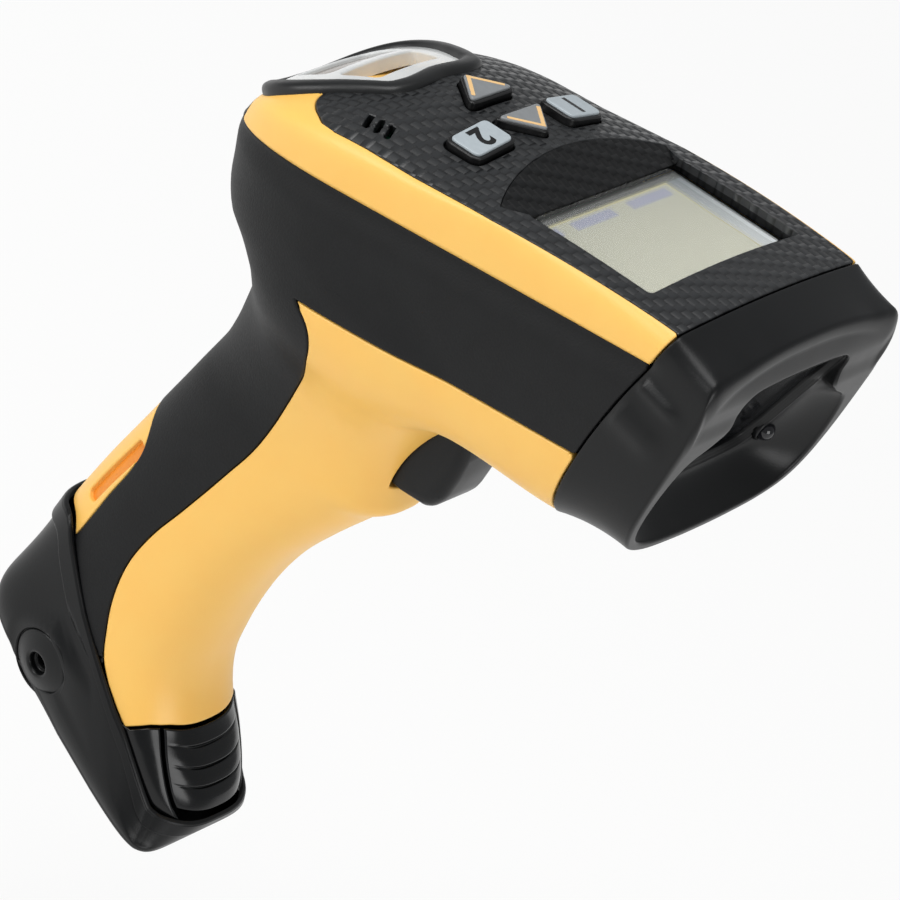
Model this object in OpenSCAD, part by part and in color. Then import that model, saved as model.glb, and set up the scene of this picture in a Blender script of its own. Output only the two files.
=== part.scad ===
// Cordless pistol-grip barcode scanner with a display, four keys and a battery foot.
// +X is the scan direction, +Y the scanner's left, +Z up. The origin lies under the
// middle of its length, at the height of the lowest edge of the battery foot.

/* [Head] */
// Width of the head across its side ridges
head_w = 73.8; // [70:0.2:78]
// Length of the head along its own axis
head_len = 139; // [134:0.5:146]
// Angle by which the head's axis rises towards the nose
head_pitch = 17.5; // [16:0.5:19]
// Depth of the head from the nose's top edge to its underside
head_depth = 52; // [50:0.5:56]
// Distance from the nose along the axis where the rear starts to round off
straight_len = 95; // [90:1:100]
// Rise of the top panel's crest at the keys over the nose's top edge
crest = 13; // [12:0.25:14]
// Half width of the top panel at the nose
panel_front = 32.6; // [31:0.2:34]
// Half width of the top panel at its widest
panel_mid = 35.2; // [34:0.2:36]
// Height of the nose's top edge over the foot
nose_z = 212.5; // [208:0.5:218]
// Distance of the nose's front plane from the origin
nose_x = 65.1; // [62:0.1:68]
// Length of the nose cap
nose_len = 17; // [15:0.5:19]
// Depth of the nose's opening in front of the window
throat = 7.5; // [6:0.5:9]
// Rim of the nose's opening at its bottom
rim = 1.5; // [1.2:0.1:2]
// Height of the nose's upper rim
brow = 9.8; // [8:0.2:12]

/* [Walls] */
// Wall of the moulded shells
wall = 2.4; // [2:0.1:2.8]
// Thickness of the top panel
panel_t = 1.8; // [1.4:0.1:2.2]
// Gap between neighbouring shells
seam = 0.2; // [0.15:0.05:0.3]
// Running gap around parts that move
run = 0.35; // [0.3:0.05:0.5]

/* [Grip] */
// Half width of the grip
grip_half = 19.4; // [18.6:0.1:20.2]
// Roundness of the grip's section: 2 is an ellipse, more is squarer
grip_square = 2.5; // [2.2:0.1:3]
// Lean of the battery's way out of the grip
grip_lean = 6.9; // [6:0.1:8]
// Half width of the foot's underside at its front
foot_half = 21; // [20:0.1:21.6]
// Half width of the foot's underside at its rear
foot_heel = 18.2; // [17.4:0.1:19]
// Distance by which the foot's back stands out between its rim and its underside
foot_bulge = 5.6; // [4.6:0.2:6.4]

/* [Display and keys] */
// Length of the display window along the head
window_l = 30.4; // [28:0.2:32]
// Width of the display window
window_w = 49.6; // [47:0.2:51]
// Thickness of the display window
window_t = 1.2; // [0.9:0.1:1.5]
// Travel of a key
key_travel = 0.8; // [0.6:0.1:1]
// Height of a key cap over the panel
key_h = 2.2; // [1.8:0.1:2.6]
// Distance of the middle keys' row from the nose
key_row = 80; // [79:0.25:81]
// Distance of the number keys from the head's middle
key_side = 16.5; // [16:0.25:17]

/* [Trigger] */
// Width of the trigger's pad
trigger_w = 17; // [15:0.5:18]
// Radius of the trigger's pivot pin
pin_r = 1.5; // [1.2:0.1:1.8]
// Play of a pin in its bore
pin_play = 0.05; // [0.03:0.01:0.08]

/* [Battery] */
// Diameter of a battery cell
cell_d = 18.4; // [17.6:0.1:18.8]
// Length of a battery cell
cell_l = 65; // [60:1:67]
// Wall of the battery's case
case_t = 0.9; // [0.7:0.1:1.1]
// Diameter of the charging contact's dish
dish_d = 16.2; // [15:0.1:17]
// Radius of the charging contact's socket
socket_r = 2.6; // [2.2:0.1:3]
// Depth of the charging contact's socket
socket_depth = 4.5; // [4.2:0.1:5]

/* [Hidden] */
$fn = 48;
yellow = "#FFC84F";
black = "#2B2C2D";
soft = "#333435";
grey = "#B9BCBC";
green = "#2F6B4A";
steel = "#B8BABD";
// Shares of a whole number of columns or stations left open for a seam
trim = 0.03;
// Column numbers of a section, from its top middle: panel edge, stripe edge, band edge, bottom middle
col_panel = 5;
col_stripe = 7;
col_band = 11;
col_end = 17;
// Rise of the panel's crest from the nose seam to the keys
crest_rise = 7.7;
// Power of the rear's rounding: 2 is an ellipse, more is fuller
rear_full = 2;
// Heights between which the head's rear end is upright
rear_hi = -12;
rear_lo = -27;
// Last station of the rear, just short of its end
rear_end = 1.985;
// Head stations from the nose seam, 0, over the start of the rounding, 1, to the rear, 2
head_stations = [0.01, 0.25, 0.5, 0.75, 1, 1.2, 1.4, 1.56, 1.7, 1.82, 1.91, rear_end];
// The grip's heights are drawn for this height of the nose, and stretch with it between two heights
drawn_z = 212.5;
stretch_low = 38;
stretch_high = 112;
function reach(z) =
  z + (nose_z - drawn_z) * max(0, min(1, (z - stretch_low) / (stretch_high - stretch_low)));
// Grip sections: height, back, front and half width, each from the origin
grip = [
  [reach(160), -50.9, 29, grip_half + 16],
  [reach(154), -50.9, 25.1, grip_half + 15.5],
  [reach(147), -50.3, 21.1, grip_half + 13],
  [reach(140), -48.9, 16.6, grip_half + 9],
  [reach(133), -47.3, 11.6, grip_half + 4.5],
  [reach(126), -46.2, 8.5, grip_half + 1.8],
  [reach(118), -45.7, 8, grip_half + 0.5],
  [reach(112), -45.9, 10.7, grip_half],
  [reach(107.5), -46.7, 12.9, grip_half - 0.2],
  [reach(102.5), -47.5, 9.9, grip_half - 0.2],
  [reach(96), -48.5, 4.7, grip_half - 0.2],
  [reach(87), -49.9, -0.5, grip_half - 0.2],
  [reach(77), -51.4, -4.9, grip_half - 0.1],
  [reach(66), -53.1, -6.7, grip_half + 0.1],
  [reach(55), -54.5, -7.5, grip_half + 0.3],
  [reach(46), -55.5, -7.1, grip_half + 0.5],
  [38, -56.1, -5.9, grip_half + 0.7],
  [32, -56.3, -3.3, grip_half + 0.9],
  [26, -56.3, 1.1, grip_half + 1],
  [20, -56.2, 7.6, grip_half + 1],
  [12, -55.5, 13.7, grip_half + 0.9],
  [6, -54.9, 15.1, grip_half + 0.6]];
// Side view of the line between the yellow front and the soft back, top to bottom
soft_edge = [[-23.2, reach(149.6)], [-16.7, reach(141.7)], [-18.1, reach(132)], [-18.8, reach(122)],
  [-18.4, reach(110)], [-19.7, reach(100.5)], [-21.5, reach(91)], [-25.3, reach(77)], [-27.9, reach(66.5)],
  [-29, reach(56.5)], [-27.5, reach(46.5)], [-24.5, reach(38.5)],
  [-21.3, 32.4], [-17.4, 28 + run]];
// Side view of the line between the grip and the foot, back to front
foot_edge = [[-60.9, 66], [-47.9, 63.5], [-45.3, 56], [-43.9, 51], [-37.9, 43], [-30.5, 36], [-17.4, 28],
  [-12.9, 24.3], [-8.9, 22], [6.1, 12.4], [9.1, 10.9], [21.1, 10.8]];
soft_end = 6;
// Side view of the lower edge of the yellow front
toe_edge = [[-12.9, 24.3], [0.1, 25.5], [11.1, 26]];
// Front, rear and the two rates of rise of the foot's underside, counted from its lowest edge
foot_front = 12.1;
foot_rear = -53.4;
foot_low = 9.1;
under_rise = 0.175;
under_curve = 0.002;

function mix(a, b, t) = a + (b - a) * t;
function bend(a, b, c, t) = mix(mix(a, b, t), mix(b, c, t), t);
function rounding(q, n) = pow(max(1 - pow(q, n), 0), 1 / n);
function quad(a, b, c, d) = [[a, c, b], [a, d, c]];
// A point of the head's own frame, forward, left and up from the nose's top edge, in the part's frame
function head_point(u, v, w) = [
  nose_x + u * cos(head_pitch) - w * sin(head_pitch), v,
  nose_z + u * sin(head_pitch) + w * cos(head_pitch)];
// How far a station has gone into the rounded rear, 0 to 1
function rear_share(s) = max(s - 1, 0);
function front_share(s) = min(s, 1);
function crest_at(s) = mix(crest - crest_rise, crest, pow(front_share(s), 0.8));
function panel_half(s) = mix(panel_front, panel_mid, sin(front_share(s) * 110) / sin(110));
function edge_drop(s) = mix(1.8, 6, front_share(s));
// Height of a point after the rear's rounding
function rear_height(w, q) =
  w > rear_hi ? rear_hi + (w - rear_hi) * rounding(q, rear_full)
  : w < rear_lo ? rear_lo + (w - rear_lo) * rounding(q, rear_full)
  : w;
// The eight points that set half a section, sunk by an inset: crest, panel edge, shoulder,
// stripe edge, ridge, band edge, belly and bottom
function head_keys(s, inset) =
  let (c = crest_at(s) - inset, half = head_w / 2 - inset)
  [[0, c], [panel_half(s) - inset, c - edge_drop(s)], [half - 0.2, c - edge_drop(s) - 3],
    [half - 0.6, -4.8], [half, -16], [half - 1.2, -32.8],
    [half - 2.6, inset - head_depth + 3.5], [head_w * 0.31 - inset, inset - head_depth],
    [0, inset - head_depth - 0.4]];
function half_section(k) = concat(
  [for (t = [0 : 1 / col_panel : 1.001]) [k[1][0] * t, mix(k[0][1], k[1][1], t * t)]],
  [for (t = [0.5, 1]) bend(k[1], k[2], k[3], t)],
  [mix(k[3], k[4], 0.5), k[4], mix(k[4], k[5], 0.5), k[5]],
  [for (t = [0.25, 0.5, 0.75, 1]) bend(k[5], k[6], k[7], t)],
  [mix(k[7], k[8], 0.5), k[8]]);
// A section's point at a column that may lie between two points
function section_at(h, c) =
  let (k = min(floor(c), col_end - 1))
  mix(h[k], h[k + 1], c - k);
// A point of the head's surface: station, signed column and inset
function on_head(s, h, c, inset) =
  let (q = rear_share(s), p = section_at(h, abs(c)), w = rear_height(p[1], q),
    u0 = -nose_len / cos(head_pitch) + w * tan(head_pitch),
    u1 = -straight_len - q * (head_len - straight_len - inset))
  head_point(s < 1 ? mix(u0, -straight_len, s) : u1, sign(c) * p[0] * rounding(q, 2.3), w);
function head_ring(s, inset, cols) =
  let (h = half_section(head_keys(s, inset)))
  [for (c = cols) on_head(s, h, c, inset)];
under_cols = concat([for (c = [col_band : col_end]) c == col_band ? c + trim : c],
  [for (c = [1 - col_end : -col_band]) c == -col_band ? c - trim : c]);

// Closed solid between two grids of points of the same size
module thick(outer, inner) {
  rows = len(outer);
  cols = len(outer[0]);
  far = rows * cols;
  last = far - cols;
  points = concat([for (r = outer) each r], [for (r = inner) each r]);
  cells = [for (i = [0 : rows - 2], j = [0 : cols - 2]) i * cols + j];
  skin = [for (k = cells) each quad(k, k + 1, k + 1 + cols, k + cols)];
  back = [for (k = cells) each quad(far + k, far + k + cols, far + k + 1 + cols, far + k + 1)];
  start = [for (j = [0 : cols - 2]) each quad(j + 1, j, far + j, far + j + 1)];
  end = [for (k = [last : far - 2]) each quad(k, k + 1, far + k + 1, far + k)];
  side = [for (k = [0 : cols : last - 1]) each quad(k, k + cols, far + k + cols, far + k)];
  other = [for (k = [cols - 1 : cols : last - 1]) each quad(k + cols, k, far + k, far + k + cols)];
  polyhedron(points, concat(skin, back, start, end, side, other), convexity = 8);
}

// Closed solid through closed rings of points, from the first ring to the last
module loft(rings) {
  n = len(rings[0]);
  last = len(rings) - 1;
  middle = function (r) [for (k = [0 : 2]) [for (p = r) p[k]] * [for (p = r) 1] / len(r)];
  points = concat([for (r = rings) each r], [middle(rings[0]), middle(rings[last])]);
  skin = [for (i = [0 : last - 1], j = [0 : n - 1])
    each quad(i * n + j, i * n + (j + 1) % n, (i + 1) * n + (j + 1) % n, (i + 1) * n + j)];
  first = [for (j = [0 : n - 1]) [j, (j + 1) % n, n * (last + 1)]];
  end = [for (j = [0 : n - 1]) [last * n + (j + 1) % n, last * n + j, n * (last + 1) + 1]];
  polyhedron(points, concat(skin, first, end), convexity = 8);
}

// Solid of the head, sunk by an inset
module head_solid(inset) {
  loft([for (s = head_stations) head_ring(s, inset, ring_cols)]);
}

// Grip sections
grip_steps = 28;
function grip_at(z, k) = lookup(z, [for (g = grip) [g[0], g[k]]]);
function curl(v, n) = sign(v) * pow(abs(v), 2 / n);
function on_grip(z, a, inset, n = grip_square) =
  let (back = grip_at(z, 1) + inset, front = grip_at(z, 2) - inset, half = grip_at(z, 3) - inset)
  [(back + front) / 2 + (front - back) / 2 * curl(cos(a), n), half * curl(sin(a), n), z];
function grip_angles() = [for (i = [0 : grip_steps - 1]) -i * 360 / grip_steps];
function grip_ring(z, inset) = [for (a = grip_angles()) on_grip(z, a, inset)];
function grip_levels(low, high) = [for (g = grip) if (g[0] >= reach(low) && g[0] <= reach(high)) g[0]];

// Solid of the grip between two heights, sunk by an inset
module grip_solid(low, high, inset) {
  loft([for (z = grip_levels(low, high)) grip_ring(z, inset)]);
}

// Prism across the scanner with a side view as its outline
module side_view(outline, width = 90) {
  rotate([90, 0, 0])
    linear_extrude(width, center = true)
      polygon(outline);
}

module in_head() {
  translate([nose_x, 0, nose_z])
    rotate([0, -head_pitch, 0])
      children();
}

// Frame of the display: on the window's upper face, tipped down to the front
display_u = -42.8;
display_w = 5.0;
display_tip = 5.1;
module at_display() {
  in_head()
    translate([display_u, 0, display_w])
      rotate([0, display_tip, 0])
        children();
}

// Frame of a key: on the panel at a place along and across the head, square to the panel
key_tip = 4.6;
function panel_height(u, v) =
  let (s = (-u - nose_len) / (straight_len - nose_len), e = panel_half(s))
  crest_at(s) - edge_drop(s) * pow(v / e, 2);
function panel_roll(v) = atan(2 * edge_drop(0.85) * v / pow(panel_mid, 2));
module at_key(u, v) {
  in_head()
    translate([u, v, panel_height(u, v)])
      rotate([0, key_tip, 0])
        rotate([-panel_roll(v), 0, 0])
          children();
}

module rounded(l, w, r) {
  hull()
    for (x = [-1, 1], y = [-1, 1])
      translate([x * (l / 2 - r), y * (w / 2 - r)])
        circle(r, $fn = 24);
}

// Triangle with round corners that points along X
module arrow(l, w, r) {
  hull() {
    translate([l / 2 - r, 0])
      circle(r, $fn = 24);
    for (y = [-1, 1])
      translate([r - l / 2, y * (w / 2 - r)])
        circle(r, $fn = 24);
  }
}

// Outline of each kind of key, grown by a gap
arrow_l = 7.8;
arrow_w = 14.8;
number_l = 9.6;
number_w = 13.6;
module arrow_outline(gap) { arrow(arrow_l + 2.4 * gap, arrow_w + 3.2 * gap, 1.6 + gap); }
module number_outline(gap) { rounded(number_l + 2 * gap, number_w + 2 * gap, 2.4 + gap); }
up_row = key_row + 13;
module at_up() { at_key(-up_row, 0) rotate([0, 0, 180]) children(); }
module at_down() { at_key(-key_row, 0) children(); }
module at_one() { at_key(-key_row, key_side) children(); }
module at_two() { at_key(-key_row, -key_side) children(); }

// Side view of the yellow front of the lower skin and of its soft back
nose_plane = nose_x - nose_len;
function shift(list, x, z) = [for (p = list) [p[0] + x, p[1] + z]];
function backwards(list) = [for (i = [len(list) - 1 : -1 : 0]) list[i]];
// Height of the band's lower edge in side view
function band_z(x) = let (e = head_point(0, 0, -33)) e[2] + (x - e[0]) * tan(head_pitch);
yellow_zone = concat(shift(soft_edge, seam, 0), shift(toe_edge, seam, run),
  [[nose_plane - seam, 40], [nose_plane - seam, band_z(nose_plane) - seam],
    [soft_edge[0][0] + seam, band_z(soft_edge[0][0]) - seam]]);
soft_zone = concat(backwards(soft_edge),
  [[soft_edge[0][0], band_z(soft_edge[0][0])], [nose_plane, band_z(nose_plane)]],
  [[nose_plane, 230], [-90, 230]],
  shift([for (i = [0 : soft_end - 1]) foot_edge[i]], 0, run));

// Grip joined section by section, which keeps the neck's shallow crossings clean
module grip_chain(low, high, inset) {
  levels = grip_levels(low, high);
  for (i = [0 : len(levels) - 2])
    hull()
      loft([grip_ring(levels[i], inset), grip_ring(levels[i + 1], inset)]);
}

// Lower skin of the head and the tube of the grip, open to each other
module lower_skin() {
  difference() {
    thick([for (s = head_stations) head_ring(s, 0, under_cols)],
      [for (s = head_stations) head_ring(s, wall, under_cols)]);
    grip_chain(100, 160, wall + 0.15);
  }
  difference() {
    grip_chain(12, 154, 0);
    grip_chain(6, 160, wall);
    head_solid(wall / 2);
  }
}

// Soft side band of the head, round its rear
function band_row(c, inset) = concat(
  [for (s = head_stations) head_ring(s, inset, [c])[0]],
  [for (s = backwards(head_stations)) head_ring(s, inset, [-c])[0]]);
module side_band() {
  rows = [for (i = [0 : 4]) col_stripe + trim + i * (col_band - col_stripe - 2 * trim) / 4];
  thick([for (c = rows) band_row(-c, 0)], [for (c = rows) band_row(-c, wall)]);
}
// Strip inside the wall that ties the band to the soft back
module band_tie() {
  rows = [col_band - 0.5, col_band + 0.5];
  thick([for (c = rows) band_row(-c, wall * 0.3)], [for (c = rows) band_row(-c, wall * 0.7)]);
}

// Opening of the yellow frame under the panel, for the display, the keys and the sounder
frame_half = 31;
frame_rear = -104;
module upper_housing() {
  edge_cols = [col_panel + trim, col_panel + 1, col_stripe - trim];
  cols = concat([for (c = backwards(edge_cols)) -c], [for (c = [-col_panel : col_panel]) c], edge_cols);
  stations = [for (s = head_stations) if (s < 1.95) s];
  color(yellow)
    difference() {
      thick(
        [for (s = stations) [for (c = cols) head_ring(s, abs(c) > col_panel ? 0 : panel_t + seam, [c])[0]]],
        [for (s = stations) head_ring(s, panel_t + wall, cols)]);
      in_head()
        translate([frame_rear, -frame_half, -30])
          cube([bezel_front - frame_rear, 2 * frame_half, 60]);
      in_head()
        loop_block(seam);
    }
}

module lower_housing() {
  color(yellow)
    difference() {
      intersection() {
        lower_skin();
        side_view(yellow_zone);
      }
      trigger_slot();
    }
}

module overmold() {
  color(soft)
    difference() {
      union() {
        side_band();
        intersection() {
          union() {
            lower_skin();
            band_tie();
          }
          side_view(soft_zone);
        }
      }
      strip_window(seam);
    }
}

// Rounded opening in the soft back for the yellow strip
strip_low = 50;
strip_high = 80;
strip_half = 7;
strip_x = -52.9;
module strip_window(gap) {
  translate([strip_x, 0, (strip_low + strip_high) / 2])
    rotate([0, -90, 0])
      linear_extrude(16, center = true)
        rounded(strip_high - strip_low + 2 * gap, 2 * (strip_half + gap), 5 + gap);
}

module back_strip() {
  color(yellow)
    difference() {
      intersection() {
        difference() {
          grip_solid(46, 96, 0.2);
          grip_solid(38, 102.5, wall);
        }
        strip_window(0);
        side_view(concat(shift(foot_edge, 0, run), [[20, 120], [-70, 120]]));
      }
      translate([strip_x - 2.6, 0, 71])
        rotate([0, -9, 0])
          cube([5, 4, 13], center = true);
    }
}

// Half a section of the nose at its front, sunk by an inset
function nose_keys(inset) =
  let (half = head_w / 2 - inset)
  [[0, -inset], [half - 3.4, -2.4 - inset], [half - 0.4, -4.4 - inset], [half - 0.3, -9],
    [half, -13.8], [half - 1.6, -24], [half - 6.4, 0.5 - head_depth + inset * 1.1],
    [22.6 - inset * 0.7, inset - head_depth - 2.6], [0, inset - head_depth - 3]];
ring_cols = [for (c = [1 - col_end : col_end]) c];
function smooth(t) = let (v = max(0, min(1, t))) v * v * (3 - 2 * v);
function nose_ring(x, inset) =
  let (h = half_section(nose_keys(inset)))
  [for (c = ring_cols) let (p = section_at(h, abs(c))) [nose_x + x, sign(c) * p[0], nose_z + p[1]]];
// Outline of the nose's mouth: thin below, drawn in at the sides and lowered under the brow
function mouth_ring(x, inset, drop, tuck) =
  let (h = half_section(nose_keys(inset)))
  [for (c = ring_cols) let (p = section_at(h, abs(c)))
    [nose_x + x, sign(c) * p[0] * (1 - tuck * smooth((p[1] + head_depth) / 36)),
      nose_z + p[1] - drop * smooth((p[1] + 40) / 40)]];
function blend_rings(a, b, t) = [for (i = [0 : len(a) - 1]) mix(a[i], b[i], t)];
function move_ring(r, x) = [for (p = r) p + [x, 0, 0]];
mouth_in = 8.5;
mouth_drop = 5;
ledge_in = wall + 1;
aimer_y = head_w * 0.325;
aimer_z = -43.5;
aimer_r = 2.5;
module at_aimer() {
  translate([nose_x - throat + 0.3, aimer_y, nose_z + aimer_z])
    rotate([0, 90, 0])
      children();
}

module nose_cap() {
  rear = move_ring(head_ring(0, 0, ring_cols), seam);
  middle = blend_rings(rear, nose_ring(-3, 0), 0.5);
  rear_in = move_ring(head_ring(0, wall, ring_cols), seam);
  color(black)
    difference() {
      loft([nose_ring(0, 1.2), nose_ring(-0.8, 0.4), nose_ring(-3, 0), middle, rear]);
      loft([nose_ring(-throat, ledge_in), move_ring(rear_in, -1)]);
      loft([mouth_ring(0.5, rim, brow - rim, 0.16), mouth_ring(-throat / 2, mouth_in / 2, 7, 0.15),
        mouth_ring(-throat - 1, mouth_in + 0.5, mouth_drop, 0.1)]);
      at_aimer()
        cylinder(h = 5, r = aimer_r + seam);
    }
}

window_in = ledge_in + 0.4;
module scan_window() {
  color("#3A2024", 0.6)
    loft([nose_ring(-throat - 0.1, window_in), nose_ring(-throat - 1.6, window_in)]);
}

module window_seal() {
  color(black)
    difference() {
      loft([nose_ring(-throat - 1.7, window_in), nose_ring(-throat - 3.2, window_in)]);
      loft([nose_ring(-throat, mouth_in), nose_ring(-throat - 4, mouth_in)]);
    }
}

// Slots over the sounder
slot_u = -95;
slot_y = -27.8;
module top_panel() {
  cols = [for (c = [-col_panel : col_panel]) c * (1 - trim / col_panel)];
  stations = [for (s = head_stations) if (s < 1.6) s];
  color(black)
    difference() {
      thick([for (s = stations) head_ring(s, 0, cols)], [for (s = stations) head_ring(s, panel_t, cols)]);
      bezel_block(seam);
      at_up() key_well() arrow_outline(run);
      at_down() key_well() arrow_outline(run);
      at_one() key_well() number_outline(run);
      at_two() key_well() number_outline(run);
      in_head()
        loop_block(seam);
      in_head()
        for (i = [0 : 2])
          translate([slot_u - i * 2.9, slot_y, 0])
            rotate([0, 0, 20])
              linear_extrude(20)
                rounded(1.3, 5, 0.6);
    }
}

module key_well() {
  translate([0, 0, -6])
    linear_extrude(12)
      children();
}

// Block that the display's bezel fills, in the head's frame, grown by a gap
bezel_front = -26;
bezel_side = 27.6;
bezel_rear = -71;
module bezel_block(gap) {
  in_head()
    translate([0, 0, -2 - gap])
      linear_extrude(20)
        polygon(bezel_outline(gap));
}
function bezel_outline(gap) = [
  [bezel_front + gap, -bezel_side - gap], [bezel_front + gap, bezel_side + gap],
  [-60 - gap, bezel_side + gap], [-66.5 - gap, 21 + gap], [bezel_rear - gap, 9],
  [bezel_rear - gap, -9], [-66.5 - gap, -21 - gap], [-60 - gap, -bezel_side - gap]];

module display_bezel() {
  color(black)
    difference() {
      intersection() {
        head_solid(0.05);
        bezel_block(0);
      }
      at_display()
        translate([0, 0, -10 - window_t - seam])
          linear_extrude(20)
            rounded(window_l + 2 * seam, window_w + 2 * seam, 1);
      at_display()
        translate([0, 0, 0.2])
          bezel_funnel();
    }
}

// Recess over the display: steep at the sides and front, long and sloping behind
module bezel_funnel() {
  near = window_l / 2 + 1;
  far = -window_l / 2 - 3;
  side = bezel_side - 1;
  hull() {
    linear_extrude(0.1)
      square([window_l + 0.6, window_w + 0.6], center = true);
    translate([0, 0, 8])
      linear_extrude(0.1)
        polygon([[near, side], [far, side], [far - 9, 12], [far - 9, -12], [far, -side], [near, -side]]);
  }
}

module display_window() {
  color("#C9CFC0", 0.5)
    at_display()
      translate([0, 0, -window_t])
        linear_extrude(window_t)
          rounded(window_l, window_w, 1);
}

lcd_t = 3.4;
module lcd_module() {
  color("#C9CDB8")
    at_display()
      translate([0, 0, -window_t - lcd_t - 0.1])
        linear_extrude(lcd_t)
          rounded(window_l - 1.4, window_w - 1.4, 0.6);
}

// A key's skirt, from under the panel to just below its cap
key_foot = panel_t + key_travel + run;
cap_t = 0.8;
module key_body() {
  translate([0, 0, -key_foot])
    linear_extrude(key_foot + key_h - cap_t)
      children();
}
module key_cap() {
  translate([0, 0, key_h - cap_t])
    linear_extrude(cap_t)
      children();
}

module key_up() {
  color(grey)
    at_up() {
      key_body() arrow_outline(0);
      key_cap() arrow_outline(-0.7);
    }
}

module key_down() {
  color(grey)
    at_down() {
      key_body() arrow_outline(0);
      key_cap() arrow_outline(-0.7);
    }
}

module key_1() {
  color(grey)
    at_one() {
      key_body() number_outline(0);
      key_cap() number_outline(-0.8);
    }
}

module key_2() {
  color(grey)
    at_two() {
      key_body() number_outline(0);
      key_cap() number_outline(-0.8);
    }
}

// Board with the keys' switches, held between the sides of the yellow frame
key_board_depth = 7.2;
key_board_t = 1;
key_mid = key_row + 6.5;
module key_board() {
  color(green)
    at_key(-key_mid, 0)
      translate([0, 0, -key_board_depth - key_board_t])
        linear_extrude(key_board_t)
          rounded(24, 2 * frame_half - 0.6, 2);
}

module key_switches() {
  middle_h = key_board_depth - key_foot - key_travel - 0.3;
  ahead = key_mid - key_row;
  color(steel)
    at_key(-key_mid, 0)
      for (p = [[ahead, 0], [-ahead, 0], [ahead, key_side], [ahead, -key_side]])
        translate([p[0], p[1], -key_board_depth])
          cylinder(h = p[1] == 0 ? middle_h : middle_h - 1.6, r = 2);
}

// Raised loop over the rear edge, round the indicator's lens
loop_front = -102;
loop_half = 17.8;
loop_bar = 4.6;
loop_rise = 0.2;
loop_depth = 5.4;
// Side view of the loop's top in the head's frame, sunk by a depth
function loop_line(d) =
  let (q0 = (-loop_front - straight_len) / (head_len - straight_len))
  [for (i = [0 : 12]) let (q = q0 + (0.985 - q0) * sin(i * 7.5))
    [-straight_len - q * (head_len - straight_len + 0.6 - d),
      rear_hi + (crest + loop_rise - d - rear_hi) * rounding(q, rear_full)]];
module loop_strip(top, under, half) {
  side_view(concat(loop_line(top), backwards(loop_line(under))), 2 * half);
}
module loop_block(gap) {
  loop_strip(-gap - 8, loop_depth + gap, loop_half + gap);
  translate([gap, 0, 0])
    loop_strip(-gap - 8, loop_depth + gap, loop_half + gap);
}
module loop_eye(gap) {
  translate([-122, 0, -30])
    linear_extrude(60)
      rounded(31.6 - 2 * gap, 2 * (loop_half - loop_bar - gap), 4 - gap);
}

module bumper_loop() {
  color(black)
    in_head()
      difference() {
        loop_strip(0, loop_depth, loop_half);
        loop_eye(0);
      }
}

module indicator_lens() {
  color("#F2F2EC", 0.6)
    in_head()
      intersection() {
        loop_strip(1.2, loop_depth - 1.4, loop_half);
        loop_eye(seam);
      }
}

// Main board under the keys, its sides next to the soft band
board_t = 1.6;
board_w = -6.6;
board_half = head_w / 2 - wall - 0.9;
board_front = -29;
board_rear = -115;
module main_board() {
  color(green)
    in_head()
      translate([0, 0, board_w - board_t])
        linear_extrude(board_t)
          polygon([[board_front, -board_half], [board_front, board_half], [-94, board_half],
            [board_rear, board_half - 7], [board_rear, 7 - board_half], [-94, -board_half]]);
}

module radio_module() {
  color(steel)
    in_head()
      translate([-84, 14, board_w - board_t - 1.3])
        cube([18, 14, 2.6], center = true);
}

module beeper() {
  color("#1D1E1F")
    in_head()
      translate([-101, -0.27 * head_w, board_w])
        difference() {
          cylinder(h = 5, r = 6.5);
          translate([0, 0, 4])
            cylinder(h = 2, r = 1.2);
        }
}

// Board with the indicator's lights, on two posts over the main board
light_u = -110;
module indicator_board() {
  posts_h = 6;
  color(green)
    in_head() {
      translate([light_u, 0, board_w + posts_h + board_t / 2])
        cube([9, 24, board_t], center = true);
      for (y = [-9, 9])
        translate([light_u, y, board_w])
          cylinder(h = posts_h, r = 1.6);
      for (y = [-5, 5])
        translate([light_u, y, board_w + posts_h + board_t])
          cylinder(h = 1.2, r = 1.5);
    }
}

// Optics behind the window: upright, in a bracket between the head's floor and the main board
engine_x = nose_x - throat - 22;
engine_z = nose_z - 36;
engine_h = 24;
bay_half = 20.4;
engine_l = 18;
module scan_engine() {
  color("#202122")
    difference() {
      translate([engine_x - engine_l / 2, 0, engine_z])
        cube([engine_l, 2 * bay_half - 0.4, engine_h - 0.2], center = true);
      translate([engine_x - 8, 0, engine_z])
        rotate([0, 90, 0])
          cylinder(h = 10, r = 6 + pin_play);
    }
}

module engine_lens() {
  color("#15161A")
    translate([engine_x - 8, 0, engine_z])
      rotate([0, 90, 0])
        difference() {
          cylinder(h = 12, r = 6);
          translate([0, 0, 10.6])
            cylinder(h = 3, r1 = 3.4, r2 = 5.4);
        }
}

module aimer_lens() {
  color("#15161A")
    at_aimer() {
      cylinder(h = 2.4, r = aimer_r);
      translate([0, 0, 2.4])
        intersection() {
          sphere(aimer_r - 0.6);
          cylinder(h = 5, r = 5);
        }
    }
}

light_y = 14.5;
module light_board() {
  color(green)
    translate([engine_x + 0.4, 0, engine_z])
      rotate([0, 90, 0])
        linear_extrude(1.2)
          difference() {
            square([engine_h - 0.2, 2 * bay_half - 0.4], center = true);
            circle(6.6);
          }
  color(green)
    for (y = [-light_y, light_y], z = [-7, 7])
      translate([engine_x + 1.6, y, engine_z + z])
        rotate([0, 90, 0])
          cylinder(h = 1.6, r = 2.4);
}

module light_diffuser() {
  color("#D9DCDE", 0.8)
    for (y = [-light_y, light_y])
      translate([engine_x + 6, y, engine_z])
        cube([2, 2 * (bay_half - light_y) - 0.4, engine_h - 0.2], center = true);
}

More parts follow.
